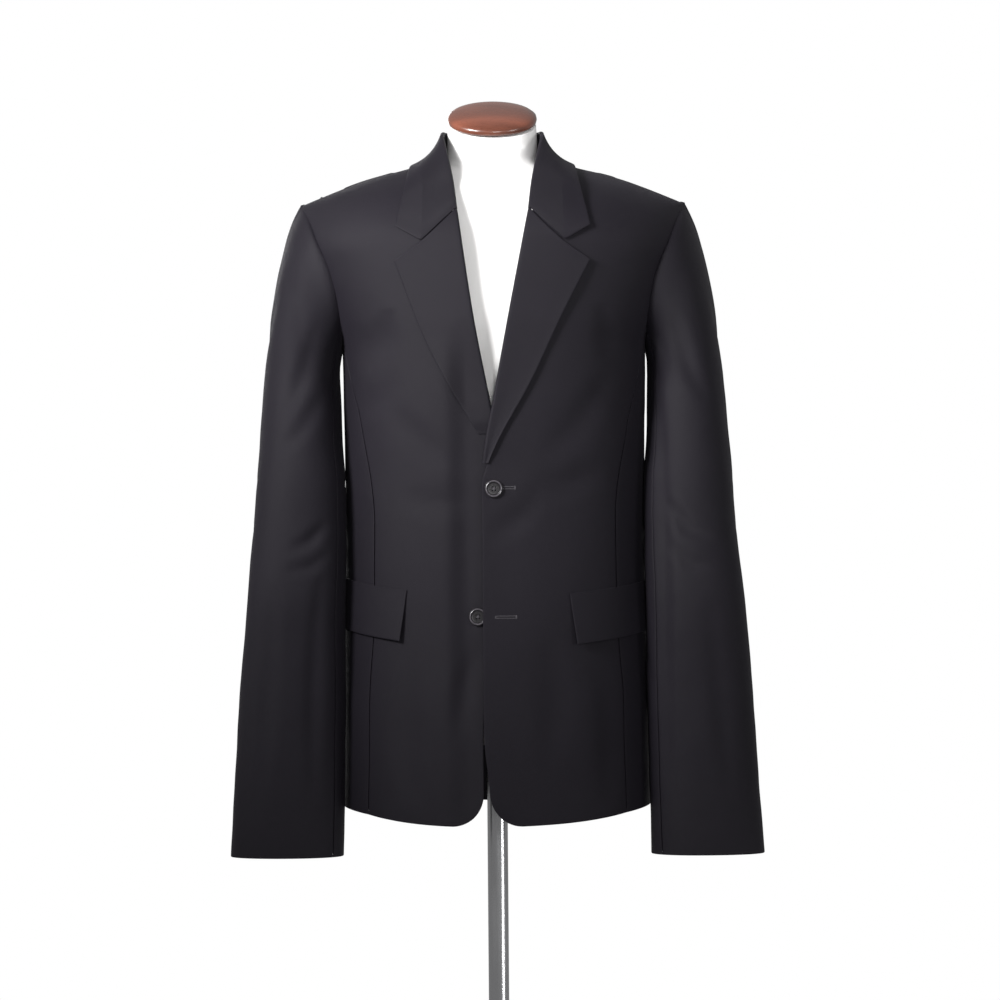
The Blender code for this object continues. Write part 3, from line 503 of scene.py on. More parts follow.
def collar_place(across, round_neck):
    """Place of the collar: across is the stand from -2, the fold from -1 and the fall from 0 to 1."""
    along = 1 - abs(round_neck)
    side = 1 if round_neck <= 0 else -1
    values = [smooth(COLLAR, along, index) for index in range(1, 10)]
    fold, edge, seam = Vector(values[0:3]), Vector(values[3:6]), Vector(values[6:9])
    ahead = [smooth(COLLAR, min(1, along + COLLAR_STEP), index) for index in range(1, 4)]
    behind = [smooth(COLLAR, max(0, along - COLLAR_STEP), index) for index in range(1, 4)]
    tangent = Vector(ahead) - Vector(behind)
    if along == 1:
        tangent = Vector((-1, 0, 0))
    outward = (edge - fold).cross(tangent).normalized()
    crown = outward.cross(tangent).normalized()
    centre = fold - crown * FOLD_RADIUS
    on_front = 1 - ease(along / COLLAR_LAID)
    if across < -1:
        free = mix(seam, centre - outward * FOLD_RADIUS, across + 2)
        laid = front_point(seam.x - COLLAR_TUCK * (across + 2), GORGE + SEAM_HALF, -CLOTH)
        return sided(mix(free, laid, 1 - ease(along / COLLAR_SEWN)), side)
    if across < 0:
        angle = math.pi * (1 + across)
        free = centre + (crown * math.sin(angle) - outward * math.cos(angle)) * FOLD_RADIUS
        out = FOLD_RADIUS - CLOTH - FOLD_RADIUS * math.cos(angle)
        laid = front_point(fold.x + FOLD_RADIUS * (1 - math.sin(angle)), fold.z, out)
        return sided(mix(free, laid, on_front), side)
    free = mix(centre + outward * FOLD_RADIUS, edge, across)
    sinking = ease((along - COLLAR_HOLLOW_START) / COLLAR_HOLLOW_EASE)
    sinking *= ease((COLLAR_HOLLOW_END - along) / COLLAR_HOLLOW_EASE)
    free -= outward * COLLAR_HOLLOW * math.sin(math.pi * across) * sinking
    dip = min(across / NOTCH_SHARE, (1 - across) / (1 - NOTCH_SHARE)) * on_front ** COLLAR_DIP_FADE
    height = mix(fold.z, edge.z, across) + COLLAR_DIP * dip
    x = mix(fold.x + FOLD_RADIUS, edge.x, across)
    laid = front_point(x, min(height, COLLAR_CREST), smooth(LAPEL_LIFT, across))
    return sided(mix(free, laid, on_front), side)


# --- Sleeves and flaps -----------------------------------------------------------------------------------

def armhole_frame(degrees):
    """A point of the armhole, the panels' normal there and the direction across the seam into the sleeve."""
    turn, height = armhole(degrees)
    lean = math.sin(math.radians(degrees))
    ways = (-1, 1) if abs(lean) < UPRIGHT_SEAM else (-math.copysign(1, lean),)
    aside, below = BESIDE_SEAM
    normal = sum((skin_normal(turn + aside * way, height - below) for way in ways), Vector()).normalized()
    ahead = skin_point(*armhole(degrees + 1))
    behind = skin_point(*armhole(degrees - 1))
    return skin_point(turn, height), normal, normal.cross(ahead - behind).normalized()


def sleeve_ring(degrees, height):
    inner, outer, middle_y, half_depth = (smooth(SLEEVE, height, column) for column in (1, 2, 3, 4))
    around = math.radians(degrees)
    power = 2 / SLEEVE_SQUARENESS
    across = math.copysign(abs(math.cos(around)) ** power, math.cos(around))
    forward = math.copysign(abs(math.sin(around)) ** power, math.sin(around))
    x = (inner + outer) / 2 + (outer - inner) / 2 * across
    return Vector((x, middle_y - half_depth * forward, height))


def sleeve_point(degrees, up):
    """A point of the left sleeve: up is 0 at the cuff, 1 at the top of the tube and 2 at the armhole."""
    if up <= 1:
        return sleeve_ring(degrees, mix(SLEEVE[0][0], SLEEVE_TOP, up))
    t = 2 - up
    point, normal, across = armhole_frame(degrees)
    from_tip = min(degrees % 360, 360 - degrees % 360)
    at_tip = 1 - ease(from_tip / TIP_BLEND)
    start = point + across * SLEEVE_GAP - normal * (SLEEVE_TUCK - TIP_RISE * at_tip)
    end = sleeve_ring(degrees, SLEEVE_TOP)
    pull, down, back = (smooth(SLEEVE_PULL, from_tip, column) for column in (1, 2, 3))
    leave = mix(across, normal, ease(from_tip / TIP_SPREAD)).normalized()
    first = start + leave * pull - Vector((0, 0, down))
    slope = sleeve_ring(degrees, SLEEVE_TOP - SLEEVE_STEP) - end
    second = end - slope.normalized() * back
    return (1 - t) ** 3 * start + 3 * t * (1 - t) ** 2 * first + 3 * t * t * (1 - t) * second + t ** 3 * end


def sleeve_place(side):
    def place(degrees, up):
        return sided(sleeve_point(degrees, up), side)

    return place


def flap_place(side):
    """Place of a flap: along from its front edge to its far end, and up from its foot to its seam."""
    def place(along, up):
        further, higher = FLAP_OFFSET[side]
        corner_x = mix(FLAP_FOOT[0], FLAP_TOP[0], up) + further
        height = mix(FLAP_FOOT[1], FLAP_TOP[1], up) + higher + FLAP_RISE * along
        turn = mix(turn_at(corner_x, height), FLAP_END, along)
        stand_off = (FLAP_STAND_OFF + FLAP_CURL * (1 - along) ** 3) * (1 - up) ** 1.5
        lift = FACED_CLOTH + SEAM_HALF + FLAP_GAP + stand_off
        return sided(skin_point(turn, height) + skin_normal(turn, height) * lift, side)

    return place


# --- Finishes --------------------------------------------------------------------------------------------

class Value:
    """A socket that carries a number, so that shader maths reads as an expression."""

    def __init__(self, finish, socket):
        self.finish, self.socket = finish, socket

    def maths(self, operation, first, second=0.0):
        return self.finish.value("ShaderNodeMath", {"operation": operation}, {0: first, 1: second})

    def __add__(self, other):
        return self.maths("ADD", self, other)

    def __mul__(self, other):
        return self.maths("MULTIPLY", self, other)

    def __sub__(self, other):
        return self.maths("SUBTRACT", self, other)

    def __rsub__(self, other):
        return self.maths("SUBTRACT", other, self)

    def __pow__(self, other):
        return self.maths("POWER", self, other)

    def sine(self):
        return self.maths("SINE", self)

    __radd__ = __add__
    __rmul__ = __mul__


class Finish:
    """A material with one Principled shader, and the one way in which its other nodes are made."""

    def __init__(self, name, settings):
        self.material = bpy.data.materials.new(name)
        self.material.use_nodes = True
        self.tree = self.material.node_tree
        self.shader = self.tree.nodes["Principled BSDF"]
        for socket, value in settings.items():
            self.shader.inputs[socket].default_value = value

    def node(self, kind, settings, values, output=0):
        """The output of a new node: its settings and a ramp's stops are set first, then its sockets."""
        made = self.tree.nodes.new(kind)
        for key, value in settings.items():
            if key == "stops":
                for index, (position, colour) in enumerate(value):
                    elements = made.color_ramp.elements
                    stop = elements[index] if index < len(elements) else elements.new(position)
                    stop.position, stop.color = position, colour
            else:
                setattr(made, key, value)
        for socket, value in values.items():
            value = value.socket if isinstance(value, Value) else value
            if isinstance(value, bpy.types.NodeSocket):
                self.tree.links.new(value, made.inputs[socket])
            else:
                made.inputs[socket].default_value = value
        return made.outputs[output]

    def value(self, kind, settings, values, output=0):
        return Value(self, self.node(kind, settings, values, output))

    def feed(self, socket, value):
        self.tree.links.new(value.socket if isinstance(value, Value) else value, self.shader.inputs[socket])

    def object_place(self):
        return self.node("ShaderNodeTexCoord", {}, {}, "Object")

    def noise(self, vector, scale, detail=3.0):
        return self.value("ShaderNodeTexNoise", {}, {"Vector": vector, "Scale": scale, "Detail": detail})

    def stretched(self, vector, scale):
        return self.node("ShaderNodeMapping", {"vector_type": "POINT"}, {"Vector": vector, "Scale": scale})

    def split(self, vector):
        return [self.value("ShaderNodeSeparateXYZ", {}, {"Vector": vector}, axis) for axis in "XYZ"]

    def blend(self, factor, first, second):
        """A colour between two, which are colours or links."""
        return self.node("ShaderNodeMix", {"data_type": "RGBA"}, {0: factor, 6: first, 7: second}, 2)

    def bump(self, height, distance, values=()):
        return self.node("ShaderNodeBump", {}, {"Height": height, "Distance": distance, **dict(values)})


def toned(colour, factor=1.0, added=0.0):
    """A colour with every part scaled and raised, as a socket takes it."""
    return (*(factor * part + added for part in colour), 1.0)


def made_once(make):
    """Gives back the material that an earlier call made under the same name."""
    def material():
        name = f"blazer_{make.__name__}"
        return bpy.data.materials.get(name) or make(name)

    return material


@made_once
def wool(name):
    """Near black worsted: a fine twill that rises to one side, slubs in the yarn and a dull nap."""
    settings = bpy.context.scene.blazer_finish
    finish = Finish(name, {
        "IOR": settings.wool_index,
        "Specular IOR Level": settings.wool_gloss,
        "Sheen Weight": settings.wool_sheen,
        "Sheen Roughness": 0.45,
        "Sheen Tint": (0.90, 0.86, 1.0, 1.0),
    })
    metres = finish.node("ShaderNodeUVMap", {"uv_map": "Metres"}, {})
    across, along, _ = finish.split(metres)
    turn = 2 * math.pi / settings.twill
    twill = (turn * (across + along)).sine()
    yarn = (turn * 1.7 * (across - along)).sine()
    slub = finish.noise(finish.stretched(metres, (260.0, 2600.0, 1.0)), 1.0, 2.0)
    nap = finish.noise(finish.object_place(), 1400.0, 2.0)
    cloudy = finish.noise(finish.object_place(), 7.0, 4.0)
    weave = 0.55 * twill + 0.2 * yarn + 0.8 * slub + 0.9 * nap
    shade = 0.12 * twill + 0.5 * slub + 0.6 * nap + 0.6 * cloudy - 0.45
    dark = toned(settings.wool, 0.62)
    light = toned(settings.wool, 1.38)
    finish.feed("Base Color", finish.blend(shade, dark, light))
    finish.feed("Roughness", 0.10 * nap + 0.12 * cloudy + settings.wool_roughness - 0.11)
    finish.feed("Normal", finish.bump(weave, 0.00009))
    return finish.material


@made_once
def thread(name):
    """Twisted buttonhole thread, a little glossier than the wool."""
    settings = bpy.context.scene.blazer_finish
    finish = Finish(name, {"Sheen Weight": 0.2, "Specular IOR Level": 0.5})
    strand = finish.noise(finish.object_place(), 2600.0, 2.0)
    dark = toned(settings.thread, 0.7)
    finish.feed("Base Color", finish.blend(strand, dark, toned(settings.thread)))
    finish.feed("Roughness", 0.2 * strand + 0.42)
    finish.feed("Normal", finish.bump(strand, 0.0001))
    return finish.material


@made_once
def horn(name):
    """Polished dark horn with faint streaks."""
    settings = bpy.context.scene.blazer_finish
    finish = Finish(name, {"IOR": 1.30, "Coat Roughness": 0.12})
    streaks = finish.noise(finish.stretched(finish.object_place(), (700.0, 90.0, 220.0)), 1.0, 4.0)
    fine = finish.noise(finish.object_place(), 900.0, 2.0)
    dark = toned(settings.horn)
    light = toned(settings.horn, 2.6, 0.004)
    finish.feed("Base Color", finish.blend(streaks, dark, light))
    finish.feed("Roughness", 0.16 * fine + 0.12 * streaks + 0.16)
    finish.feed("Coat Weight", 0.04 * fine)
    finish.feed("Normal", finish.bump(fine, 0.00002))
    return finish.material


@made_once
def polished_rim(name):
    """Painted highlight: a pale band on the raised rim of a button, where its gloss catches the light."""
    finish = Finish(name, {"IOR": 1.6})
    mottled = finish.noise(finish.object_place(), 420.0, 3.0)
    # The pale base colour is a painted highlight, broken up by noise; the low roughness gives real gloss.
    finish.feed("Base Color", finish.blend(mottled, (0.020, 0.018, 0.022, 1.0), (0.110, 0.100, 0.115, 1.0)))
    finish.feed("Roughness", 0.25 * mottled + 0.12)
    return finish.material


@made_once
def linen(name):
    """White plain weave that covers the torso and the neck."""
    settings = bpy.context.scene.blazer_finish
    finish = Finish(name, {"Specular IOR Level": 0.3, "Sheen Weight": 0.15})
    metres = finish.node("ShaderNodeUVMap", {"uv_map": "Metres"}, {})
    across, along, _ = finish.split(metres)
    turn = 2 * math.pi / settings.linen_thread
    weave = (turn * across).sine() * (turn * along).sine()
    slub = finish.noise(finish.stretched(metres, (90.0, 1500.0, 1.0)), 1.0, 3.0)
    faint = finish.noise(finish.object_place(), 14.0, 3.0)
    shade = 0.10 * weave + 0.35 * slub + 0.5 * faint
    mottled = toned(settings.linen, 0.90)
    finish.feed("Base Color", finish.blend(shade, mottled, toned(settings.linen)))
    finish.feed("Roughness", 0.1 * slub + 0.80)
    finish.feed("Normal", finish.bump(0.5 * weave + 0.6 * slub, 0.00012))
    return finish.material


@made_once
def varnished_wood(name):
    """Reddish brown turned wood under a clear varnish, with grain along the neck."""
    settings = bpy.context.scene.blazer_finish
    finish = Finish(name, {"IOR": 1.5, "Coat Roughness": 0.16})
    place = finish.object_place()
    warp = finish.noise(finish.stretched(place, (9.0, 26.0, 26.0)), 1.0, 4.0)
    x, y, _ = finish.split(place)
    rings = (95.0 * y + 6.0 * x + 9.0 * warp).sine()
    pores = finish.noise(finish.stretched(place, (120.0, 1300.0, 1300.0)), 1.0, 3.0)
    shade = 0.22 * rings + 0.55 * pores + 0.35 * warp - 0.05
    dark = toned(settings.wood, 0.55)
    light = toned(settings.wood, 1.5)
    finish.feed("Base Color", finish.blend(shade, dark, light))
    finish.feed("Roughness", 0.14 * pores + 0.22)
    finish.feed("Coat Weight", 0.35 * warp + 0.35)
    finish.feed("Normal", finish.bump(pores, 0.00006))
    return finish.material


@made_once
def steel(name):
    """Drawn steel tube, brushed along its length and a little marked."""
    settings = bpy.context.scene.blazer_finish
    finish = Finish(name, {"Metallic": 1.0})
    place = finish.object_place()
    drawn = finish.noise(finish.stretched(place, (1800.0, 1800.0, 9.0)), 1.0, 3.0)
    marks = finish.noise(finish.stretched(place, (30.0, 30.0, 8.0)), 1.0, 4.0)
    dull = toned(settings.steel, 0.8)
    finish.feed("Base Color", finish.blend(marks, dull, toned(settings.steel)))
    finish.feed("Roughness", 0.14 * drawn + 0.16 * marks + 0.10)
    finish.feed("Normal", finish.bump(drawn, 0.00002))
    return finish.material


@made_once
def painted_iron(name):
    """Cast foot in dark satin paint, with a slight orange peel and paler worn spots."""
    settings = bpy.context.scene.blazer_finish
    finish = Finish(name, {"IOR": 1.5})
    place = finish.object_place()
    peel = finish.noise(place, 420.0, 2.0)
    wear = finish.noise(place, 16.0, 5.0)
    rubbed = toned(settings.iron, 1.9, 0.01)
    finish.feed("Base Color", finish.blend(wear ** 3.0, toned(settings.iron), rubbed))
    finish.feed("Roughness", 0.20 * wear + 0.08 * peel + 0.30)
    finish.feed("Normal", finish.bump(peel + 0.4 * wear, 0.00012))
    return finish.material


# --- Creases ---------------------------------------------------------------------------------------------

# Groups of creases: the pieces they lie on, the way they face, and for each its course, half width and depth.
# The points of front and back courses are x and height, those of outer ones y and height.
BODY_CREASES = (
    (("front_", "side_"), "front", (
        (((0.052, 1.068), (0.020, 1.045), (-0.010, 1.028)), 0.013, 0.0030),
        (((-0.020, 1.075), (-0.062, 1.066), (-0.108, 1.072)), 0.015, 0.0026),
        (((0.030, 1.078), (0.075, 1.083), (0.120, 1.102)), 0.016, 0.0026),
        (((-0.030, 1.100), (-0.074, 1.128), (-0.116, 1.172)), 0.018, 0.0024),
        (((0.050, 1.112), (0.090, 1.150), (0.132, 1.210)), 0.020, 0.0024),
    )),
    (("front_",), "front", (
        (((-0.016, 0.915), (-0.034, 0.870), (-0.046, 0.805)), 0.014, 0.0022),
        (((-0.092, 0.890), (-0.098, 0.820), (-0.094, 0.735)), 0.020, 0.0026),
        (((0.060, 0.930), (0.066, 0.850), (0.056, 0.760)), 0.022, 0.0024),
    )),
    (("front_", "side_"), "front", (
        (((0.118, 0.880), (0.126, 0.810), (0.122, 0.730)), 0.018, 0.0026),
        (((-0.152, 1.215), (-0.128, 1.238), (-0.112, 1.280)), 0.016, 0.0034),
        (((0.154, 1.205), (0.130, 1.236), (0.118, 1.285)), 0.016, 0.0034),
        (((-0.156, 1.165), (-0.134, 1.178), (-0.100, 1.200)), 0.014, 0.0020),
        (((0.156, 1.150), (0.138, 1.166), (0.108, 1.192)), 0.014, 0.0020),
    )),
    (("side_", "front_"), "outer", (
        (((-0.062, 1.040), (-0.010, 1.052), (0.050, 1.046)), 0.013, 0.0026),
        (((-0.040, 1.085), (0.006, 1.094), (0.048, 1.078)), 0.012, 0.0020),
    )),
    (("side_", "back_"), "outer", (
        (((-0.006, 1.000), (0.012, 0.890), (0.004, 0.760)), 0.018, 0.0026),
    )),
    (("back_",), "back", (
        (((0.018, 1.062), (0.062, 1.050), (0.112, 1.062)), 0.014, 0.0026),
        (((-0.012, 1.088), (-0.060, 1.074), (-0.118, 1.090)), 0.015, 0.0030),
        (((0.030, 1.128), (0.078, 1.118), (0.124, 1.140)), 0.014, 0.0018),
        (((0.148, 1.215), (0.122, 1.262), (0.112, 1.318)), 0.018, 0.0034),
        (((-0.150, 1.222), (-0.120, 1.262), (-0.106, 1.322)), 0.018, 0.0032),
        (((0.056, 0.960), (0.070, 0.860), (0.064, 0.745)), 0.024, 0.0030),
        (((-0.048, 0.980), (-0.070, 0.880), (-0.078, 0.760)), 0.024, 0.0032),
        (((-0.020, 1.418), (0.012, 1.408), (0.046, 1.414)), 0.012, 0.0016),
    )),
)
SLEEVE_CREASES = (
    (("sleeve_",), "front", (
        (((-0.186, 1.046), (-0.204, 1.026), (-0.226, 1.018)), 0.009, 0.0040),
        (((-0.184, 1.012), (-0.206, 0.996), (-0.232, 0.994)), 0.009, 0.0030),
        (((-0.192, 0.996), (-0.199, 0.930), (-0.203, 0.850), (-0.205, 0.730)), 0.011, 0.0030),
        (((-0.232, 1.360), (-0.226, 1.300), (-0.212, 1.240)), 0.014, 0.0024),
        (((-0.196, 1.272), (-0.210, 1.215), (-0.232, 1.165)), 0.013, 0.0030),
        (((-0.190, 1.190), (-0.212, 1.150), (-0.240, 1.122)), 0.012, 0.0024),
        (((0.182, 1.240), (0.186, 1.080), (0.188, 0.900), (0.190, 0.740)), 0.010, 0.0030),
        (((0.198, 1.280), (0.214, 1.222), (0.236, 1.176)), 0.013, 0.0028),
        (((0.188, 1.070), (0.212, 1.038), (0.240, 1.026)), 0.011, 0.0032),
        (((0.190, 1.020), (0.216, 0.998), (0.246, 0.996)), 0.010, 0.0024),
        (((0.236, 0.960), (0.246, 0.860), (0.258, 0.730)), 0.014, 0.0022),
        (((-0.244, 0.980), (-0.252, 0.880), (-0.262, 0.740)), 0.014, 0.0024),
    )),
    (("sleeve_",), "outer", (
        (((-0.052, 1.040), (-0.010, 1.022), (0.034, 1.040)), 0.011, 0.0030),
        (((-0.044, 1.092), (0.000, 1.078), (0.040, 1.088)), 0.010, 0.0020),
        (((-0.030, 1.300), (0.006, 1.240), (0.020, 1.180)), 0.016, 0.0022),
        (((-0.030, 0.950), (-0.024, 0.850), (-0.030, 0.720)), 0.013, 0.0020),
    )),
    (("sleeve_",), "back", (
        (((-0.186, 1.050), (-0.210, 1.030), (-0.240, 1.044)), 0.011, 0.0034),
        (((0.186, 1.062), (0.212, 1.036), (0.240, 1.046)), 0.011, 0.0034),
        (((-0.188, 1.012), (-0.214, 0.992), (-0.238, 1.000)), 0.010, 0.0026),
        (((0.190, 1.008), (0.214, 0.990), (0.240, 0.998)), 0.010, 0.0024),
        (((-0.196, 1.290), (-0.212, 1.230), (-0.238, 1.180)), 0.015, 0.0030),
        (((0.194, 1.296), (0.210, 1.236), (0.238, 1.186)), 0.015, 0.0030),
    )),
)
PLANES = {"front": (0, Vector((0, -1, 0))), "back": (0, Vector((0, 1, 0))), "outer": (1, None)}
CREASE_FADE = 0.40  # share of a crease over which each of its ends fades
CREASE_POINT = 0.65  # share of its width that a crease has at its very ends
CREASE_LIP = 0.8  # sets how high the cloth rises beside the trough
CREASE_TURN, CREASE_TURN_START = 2.5, 0.4  # how fast a crease fades where the cloth turns away from its plane


def crease_depth(points, normals, facing, crease):
    """Depth of one crease at every point: a soft trough with a low lip on both sides, faded at its ends."""
    course, half_width, depth = crease
    axis, direction = PLANES[facing]
    if direction is None:
        faced = np.abs(normals[..., 0])
    else:
        faced = normals @ np.array(direction)
    flat = np.stack((points[..., axis], points[..., 2]), axis=-1)
    lengths = [math.dist(a, b) for a, b in zip(course, course[1:])]
    total, done = sum(lengths), 0.0
    nearest = np.full(points.shape[:2], 1e3)
    along = np.zeros(points.shape[:2])
    for (a, b), length in zip(zip(course, course[1:]), lengths):
        step = (np.array(b) - np.array(a)) / length
        run = np.clip((flat - np.array(a)) @ step, 0.0, length)
        gap = np.linalg.norm(flat - np.array(a) - run[..., None] * step, axis=-1)
        closer = gap < nearest
        nearest = np.where(closer, gap, nearest)
        along = np.where(closer, (done + run) / total, along)
        done += length
    ends = np.clip(np.minimum(along, 1 - along) / CREASE_FADE, 0.0, 1.0)
    across = nearest / (half_width * (CREASE_POINT + (1 - CREASE_POINT) * ends))
    trough = (1 - CREASE_LIP * across ** 2) * np.exp(-across ** 2)
    turned = np.clip(faced * CREASE_TURN - CREASE_TURN_START, 0.0, 1.0)
    return depth * trough * ends ** 0.7 * turned


def unevenness(points, grain, seed):
    """Smooth noise from -1 to 1 at every point, with bumps about a grain across."""
    shift = Vector((seed, 2.7 * seed, -1.3 * seed))
    return np.array([[noise.noise(Vector(point) / grain + shift) for point in line] for line in points])


# --- Cloth -----------------------------------------------------------------------------------------------

EDGE_STEPS = (0.0003, 0.0009, 0.0018, 0.0034)  # from an edge to the close lines of the grid beside it
EDGE_KINDS = {
    "seam": (0.0004, 0.0026, 0.0020),
    "free": (0.0005, 0.0018, 0.0),
    "plain": (0.0, 0.0010, 0.0),
}  # dip of the rounded shoulder, its reach, depth of the seam allowance turned in at the edge
EDGE_LINES = 2  # lines of the grid at each edge that take their normal from the next one
DEEPEST = 0.0042  # of any fold, so that the cloth stays clear of the form
WANDERING = ((1.0, 0.075, 3.0), (0.35, 0.028, 8.0))  # share, grain and seed of each layer of unevenness
SIDE_CALM = 0.85  # how much of a fold is lost under the arm, where the sleeve lies on the body
CORNER_CALM, CORNER_DIP = 0.005, 0.0003  # reach of the plain cloth in each corner, and its largest dip
CALM_REACH = (0.034, 0.020)  # half width and half height of the flat cloth round each button and buttonhole


def spaced(start, end, length, cell, edges=(True, True)):
    """Values from start to end for a stretch of this length, a cell apart and closer beside its edges."""
    steps = max(2, round(length / cell))
    values = [index / steps for index in range(steps + 1)]
    close = [at / length for at in EDGE_STEPS if at < 0.8 * cell]
    if edges[0]:
        values += close
    if edges[1]:
        values += [1 - at for at in close]
    return [mix(start, end, value) for value in sorted(values)]


def edge_dip(distance, kind):
    """How far the skin turns in beside an edge: a rounded shoulder, and the allowance at a seam."""
    dip, reach, allowance = EDGE_KINDS[kind]
    near = np.clip(1 - distance / reach, 0.0, 1.0)
    shoulder = dip * (1 - np.sqrt(np.clip(1 - near ** 2, 0.0, 1.0)))
    return shoulder + allowance * np.clip(1 - distance / EDGE_STEPS[0], 0.0, 1.0)


def outer_skin(name, across, along, place, kinds, flip, settings):
    """Points of a piece's outer skin with its creases, and the metres run across and along the cloth."""
    points = np.array([[place(a, b) for b in along] for a in across])
    run_across = np.zeros(points.shape[:2])
    run_along = np.zeros(points.shape[:2])
    run_across[1:] = np.cumsum(np.linalg.norm(np.diff(points, axis=0), axis=-1), axis=0)
    run_along[:, 1:] = np.cumsum(np.linalg.norm(np.diff(points, axis=1), axis=-1), axis=1)
    slope_across = np.gradient(points, axis=0)
    slope_along = np.gradient(points, axis=1)
    normals = np.cross(slope_across, slope_along)
    normals /= np.maximum(np.linalg.norm(normals, axis=-1, keepdims=True), 1e-12)
    if flip:
        normals = -normals
    for line in range(EDGE_LINES):
        normals[line], normals[-1 - line] = normals[EDGE_LINES], normals[-1 - EDGE_LINES]
        normals[:, line], normals[:, -1 - line] = normals[:, EDGE_LINES], normals[:, -1 - EDGE_LINES]
    inward = edge_dip(run_across, kinds[0]) + edge_dip(run_across[-1:] - run_across, kinds[1])
    inward += edge_dip(run_along, kinds[2]) + edge_dip(run_along[:, -1:] - run_along, kinds[3])
    from_ends = np.minimum(run_across, run_across[-1:] - run_across)
    from_sides = np.minimum(run_along, run_along[:, -1:] - run_along)
    in_corner = np.maximum(from_ends, from_sides) < CORNER_CALM
    inward = np.where(in_corner, np.minimum(inward, CORNER_DIP), inward)
    creases = np.zeros(points.shape[:2])
    for pieces, facing, group in BODY_CREASES + SLEEVE_CREASES:
        if name.startswith(pieces):
            for crease in group:
                creases += crease_depth(points, normals, facing, crease)
    if name.startswith(("front_", "side_", "back_", "sleeve_")):
        for share, grain, seed in WANDERING:
            creases += settings.unevenness * share * unevenness(points, grain, seed)
        creases = np.clip(creases * settings.crease_strength, -DEEPEST, DEEPEST)
    if name.startswith(("front_", "side_", "back_")):
        at_side = np.abs(normals[..., 0]) ** 6
        creases = np.where(creases > 0, creases * (1 - SIDE_CALM * at_side), creases)
    calm = np.where(in_corner, 0.0, 1.0)
    if name.startswith("front_"):
        for _, height in (TOP_BUTTON, LOW_BUTTON):
            away = np.hypot(points[..., 0] / CALM_REACH[0], (points[..., 2] - height) / CALM_REACH[1])
            calm *= 1 - np.exp(-away ** 4)
    points = points - normals * (inward + creases * calm)[..., None]
    return points, run_across, run_along


def sew(name, across, along, place, wall, kinds, flip=False):
    """A cloth piece in place of its node: a fine grid laid on the shared surfaces, with its wall inside it.

    The kinds are those of the edges where across and along start and end.
    """
    settings = bpy.context.scene.blazer_cloth
    points, run_across, run_along = outer_skin(name, across, along, place, kinds, flip, settings)
    shape = bmesh.new()
    metres = shape.loops.layers.uv.new("Metres")
    columns, rows = len(across) - 1, len(along) - 1
    bmesh.ops.create_grid(shape, x_segments=columns, y_segments=rows, size=0.5)
    spots = {}
    for vertex in shape.verts:
        spot = (round((vertex.co.x + 0.5) * columns), round((vertex.co.y + 0.5) * rows))
        spots[vertex] = spot
        vertex.co = points[spot]
    for face in shape.faces:
        for loop in face.loops:
            spot = spots[loop.vert]
            loop[metres].uv = (run_across[spot], run_along[spot])
    area = sum(face.calc_area() for face in shape.faces)
    if flip:
        bmesh.ops.reverse_faces(shape, faces=shape.faces)
    piece = add_object(name, shape, wool(), 50)
    solid = piece.modifiers.new("Wall", "SOLIDIFY")
    solid.thickness = wall
    solid.offset = -1.0
    solid.use_quality_normals = True
    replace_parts(piece, name)


def add_object(name, shape, material, angle=40):
    """An object of a bmesh, at the origin, that moves with the root body and has one finish."""
    mesh = bpy.data.meshes.new(f"{name}.fine")
    shape.to_mesh(mesh)
    shape.free()
    mesh.shade_smooth()
    mesh.set_sharp_from_angle(angle=math.radians(angle))
    mesh.materials.append(material)
    piece = bpy.data.objects.new(f"{name}.fine", mesh)
    bpy.context.scene.collection.objects.link(piece)
    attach(piece, "root")
    return piece


# Rough lengths of the cloth, from which the cells of its grid are counted
PANEL_LENGTH, SIDE_LENGTH = 0.70, 0.53
FRONT_WIDTH, BACK_WIDTH, SIDE_WIDTH = 0.16, 0.20, 0.13
ROLL_LENGTH, ROLL_CELL = 0.008, 0.001  # round a rolled edge
LAPEL_WIDTH, LAPEL_LENGTH = 0.068, 0.27
STAND_WIDTH, FALL_WIDTH, COLLAR_LENGTH = 0.038, 0.045, 0.38
TUBE_LENGTH, HEAD_LENGTH = 0.522, 0.16
SLEEVE_DEGREE = 0.0011  # length of one degree round a sleeve
FLAP_LENGTH, FLAP_DEPTH = 0.105, 0.056


def make_panels(side, name):
    cell = bpy.context.scene.blazer_cloth.cell
    rows = spaced(0, PANEL_ROWS, PANEL_LENGTH, cell)
    flip = side < 0
    kinds = ("free", "seam", "free", "seam")
    sew(f"front_{name}", spaced(0, 1, FRONT_WIDTH, cell), rows, front_place(side), CLOTH, kinds, flip)
    kinds = ("seam", "seam", "free", "seam")
    sew(f"back_{name}", spaced(0, 1, BACK_WIDTH, cell), rows, back_place(side), CLOTH, kinds, not flip)
    lower = spaced(0, LOWER_ROWS, SIDE_LENGTH, cell)
    sew(f"side_{name}", spaced(0, 1, SIDE_WIDTH, cell), lower, side_place(side), CLOTH, kinds, flip)


def make_lapel(side, name):
    cell = bpy.context.scene.blazer_cloth.fine_cell
    across = spaced(-1, 0, ROLL_LENGTH, ROLL_CELL, (False, False))[:-1]
    across += spaced(0, 1, LAPEL_WIDTH, cell, (False, True))
    along = spaced(0, 1, LAPEL_LENGTH, cell)
    kinds = ("plain", "free", "plain", "free")
    sew(f"lapel_{name}", across, along, lapel_place(side), FACED_CLOTH, kinds, side < 0)


def make_collar():
    cell = bpy.context.scene.blazer_cloth.fine_cell
    across = spaced(-2, -1, STAND_WIDTH, cell, (False, False))[:-1]
    across += spaced(-1, 0, ROLL_LENGTH, ROLL_CELL, (False, False))[:-1]
    across += spaced(0, 1, FALL_WIDTH, cell, (False, True))
    along = spaced(-1, 1, COLLAR_LENGTH, cell)
    sew("collar", across, along, collar_place, FACED_CLOTH, ("plain", "free", "free", "free"))


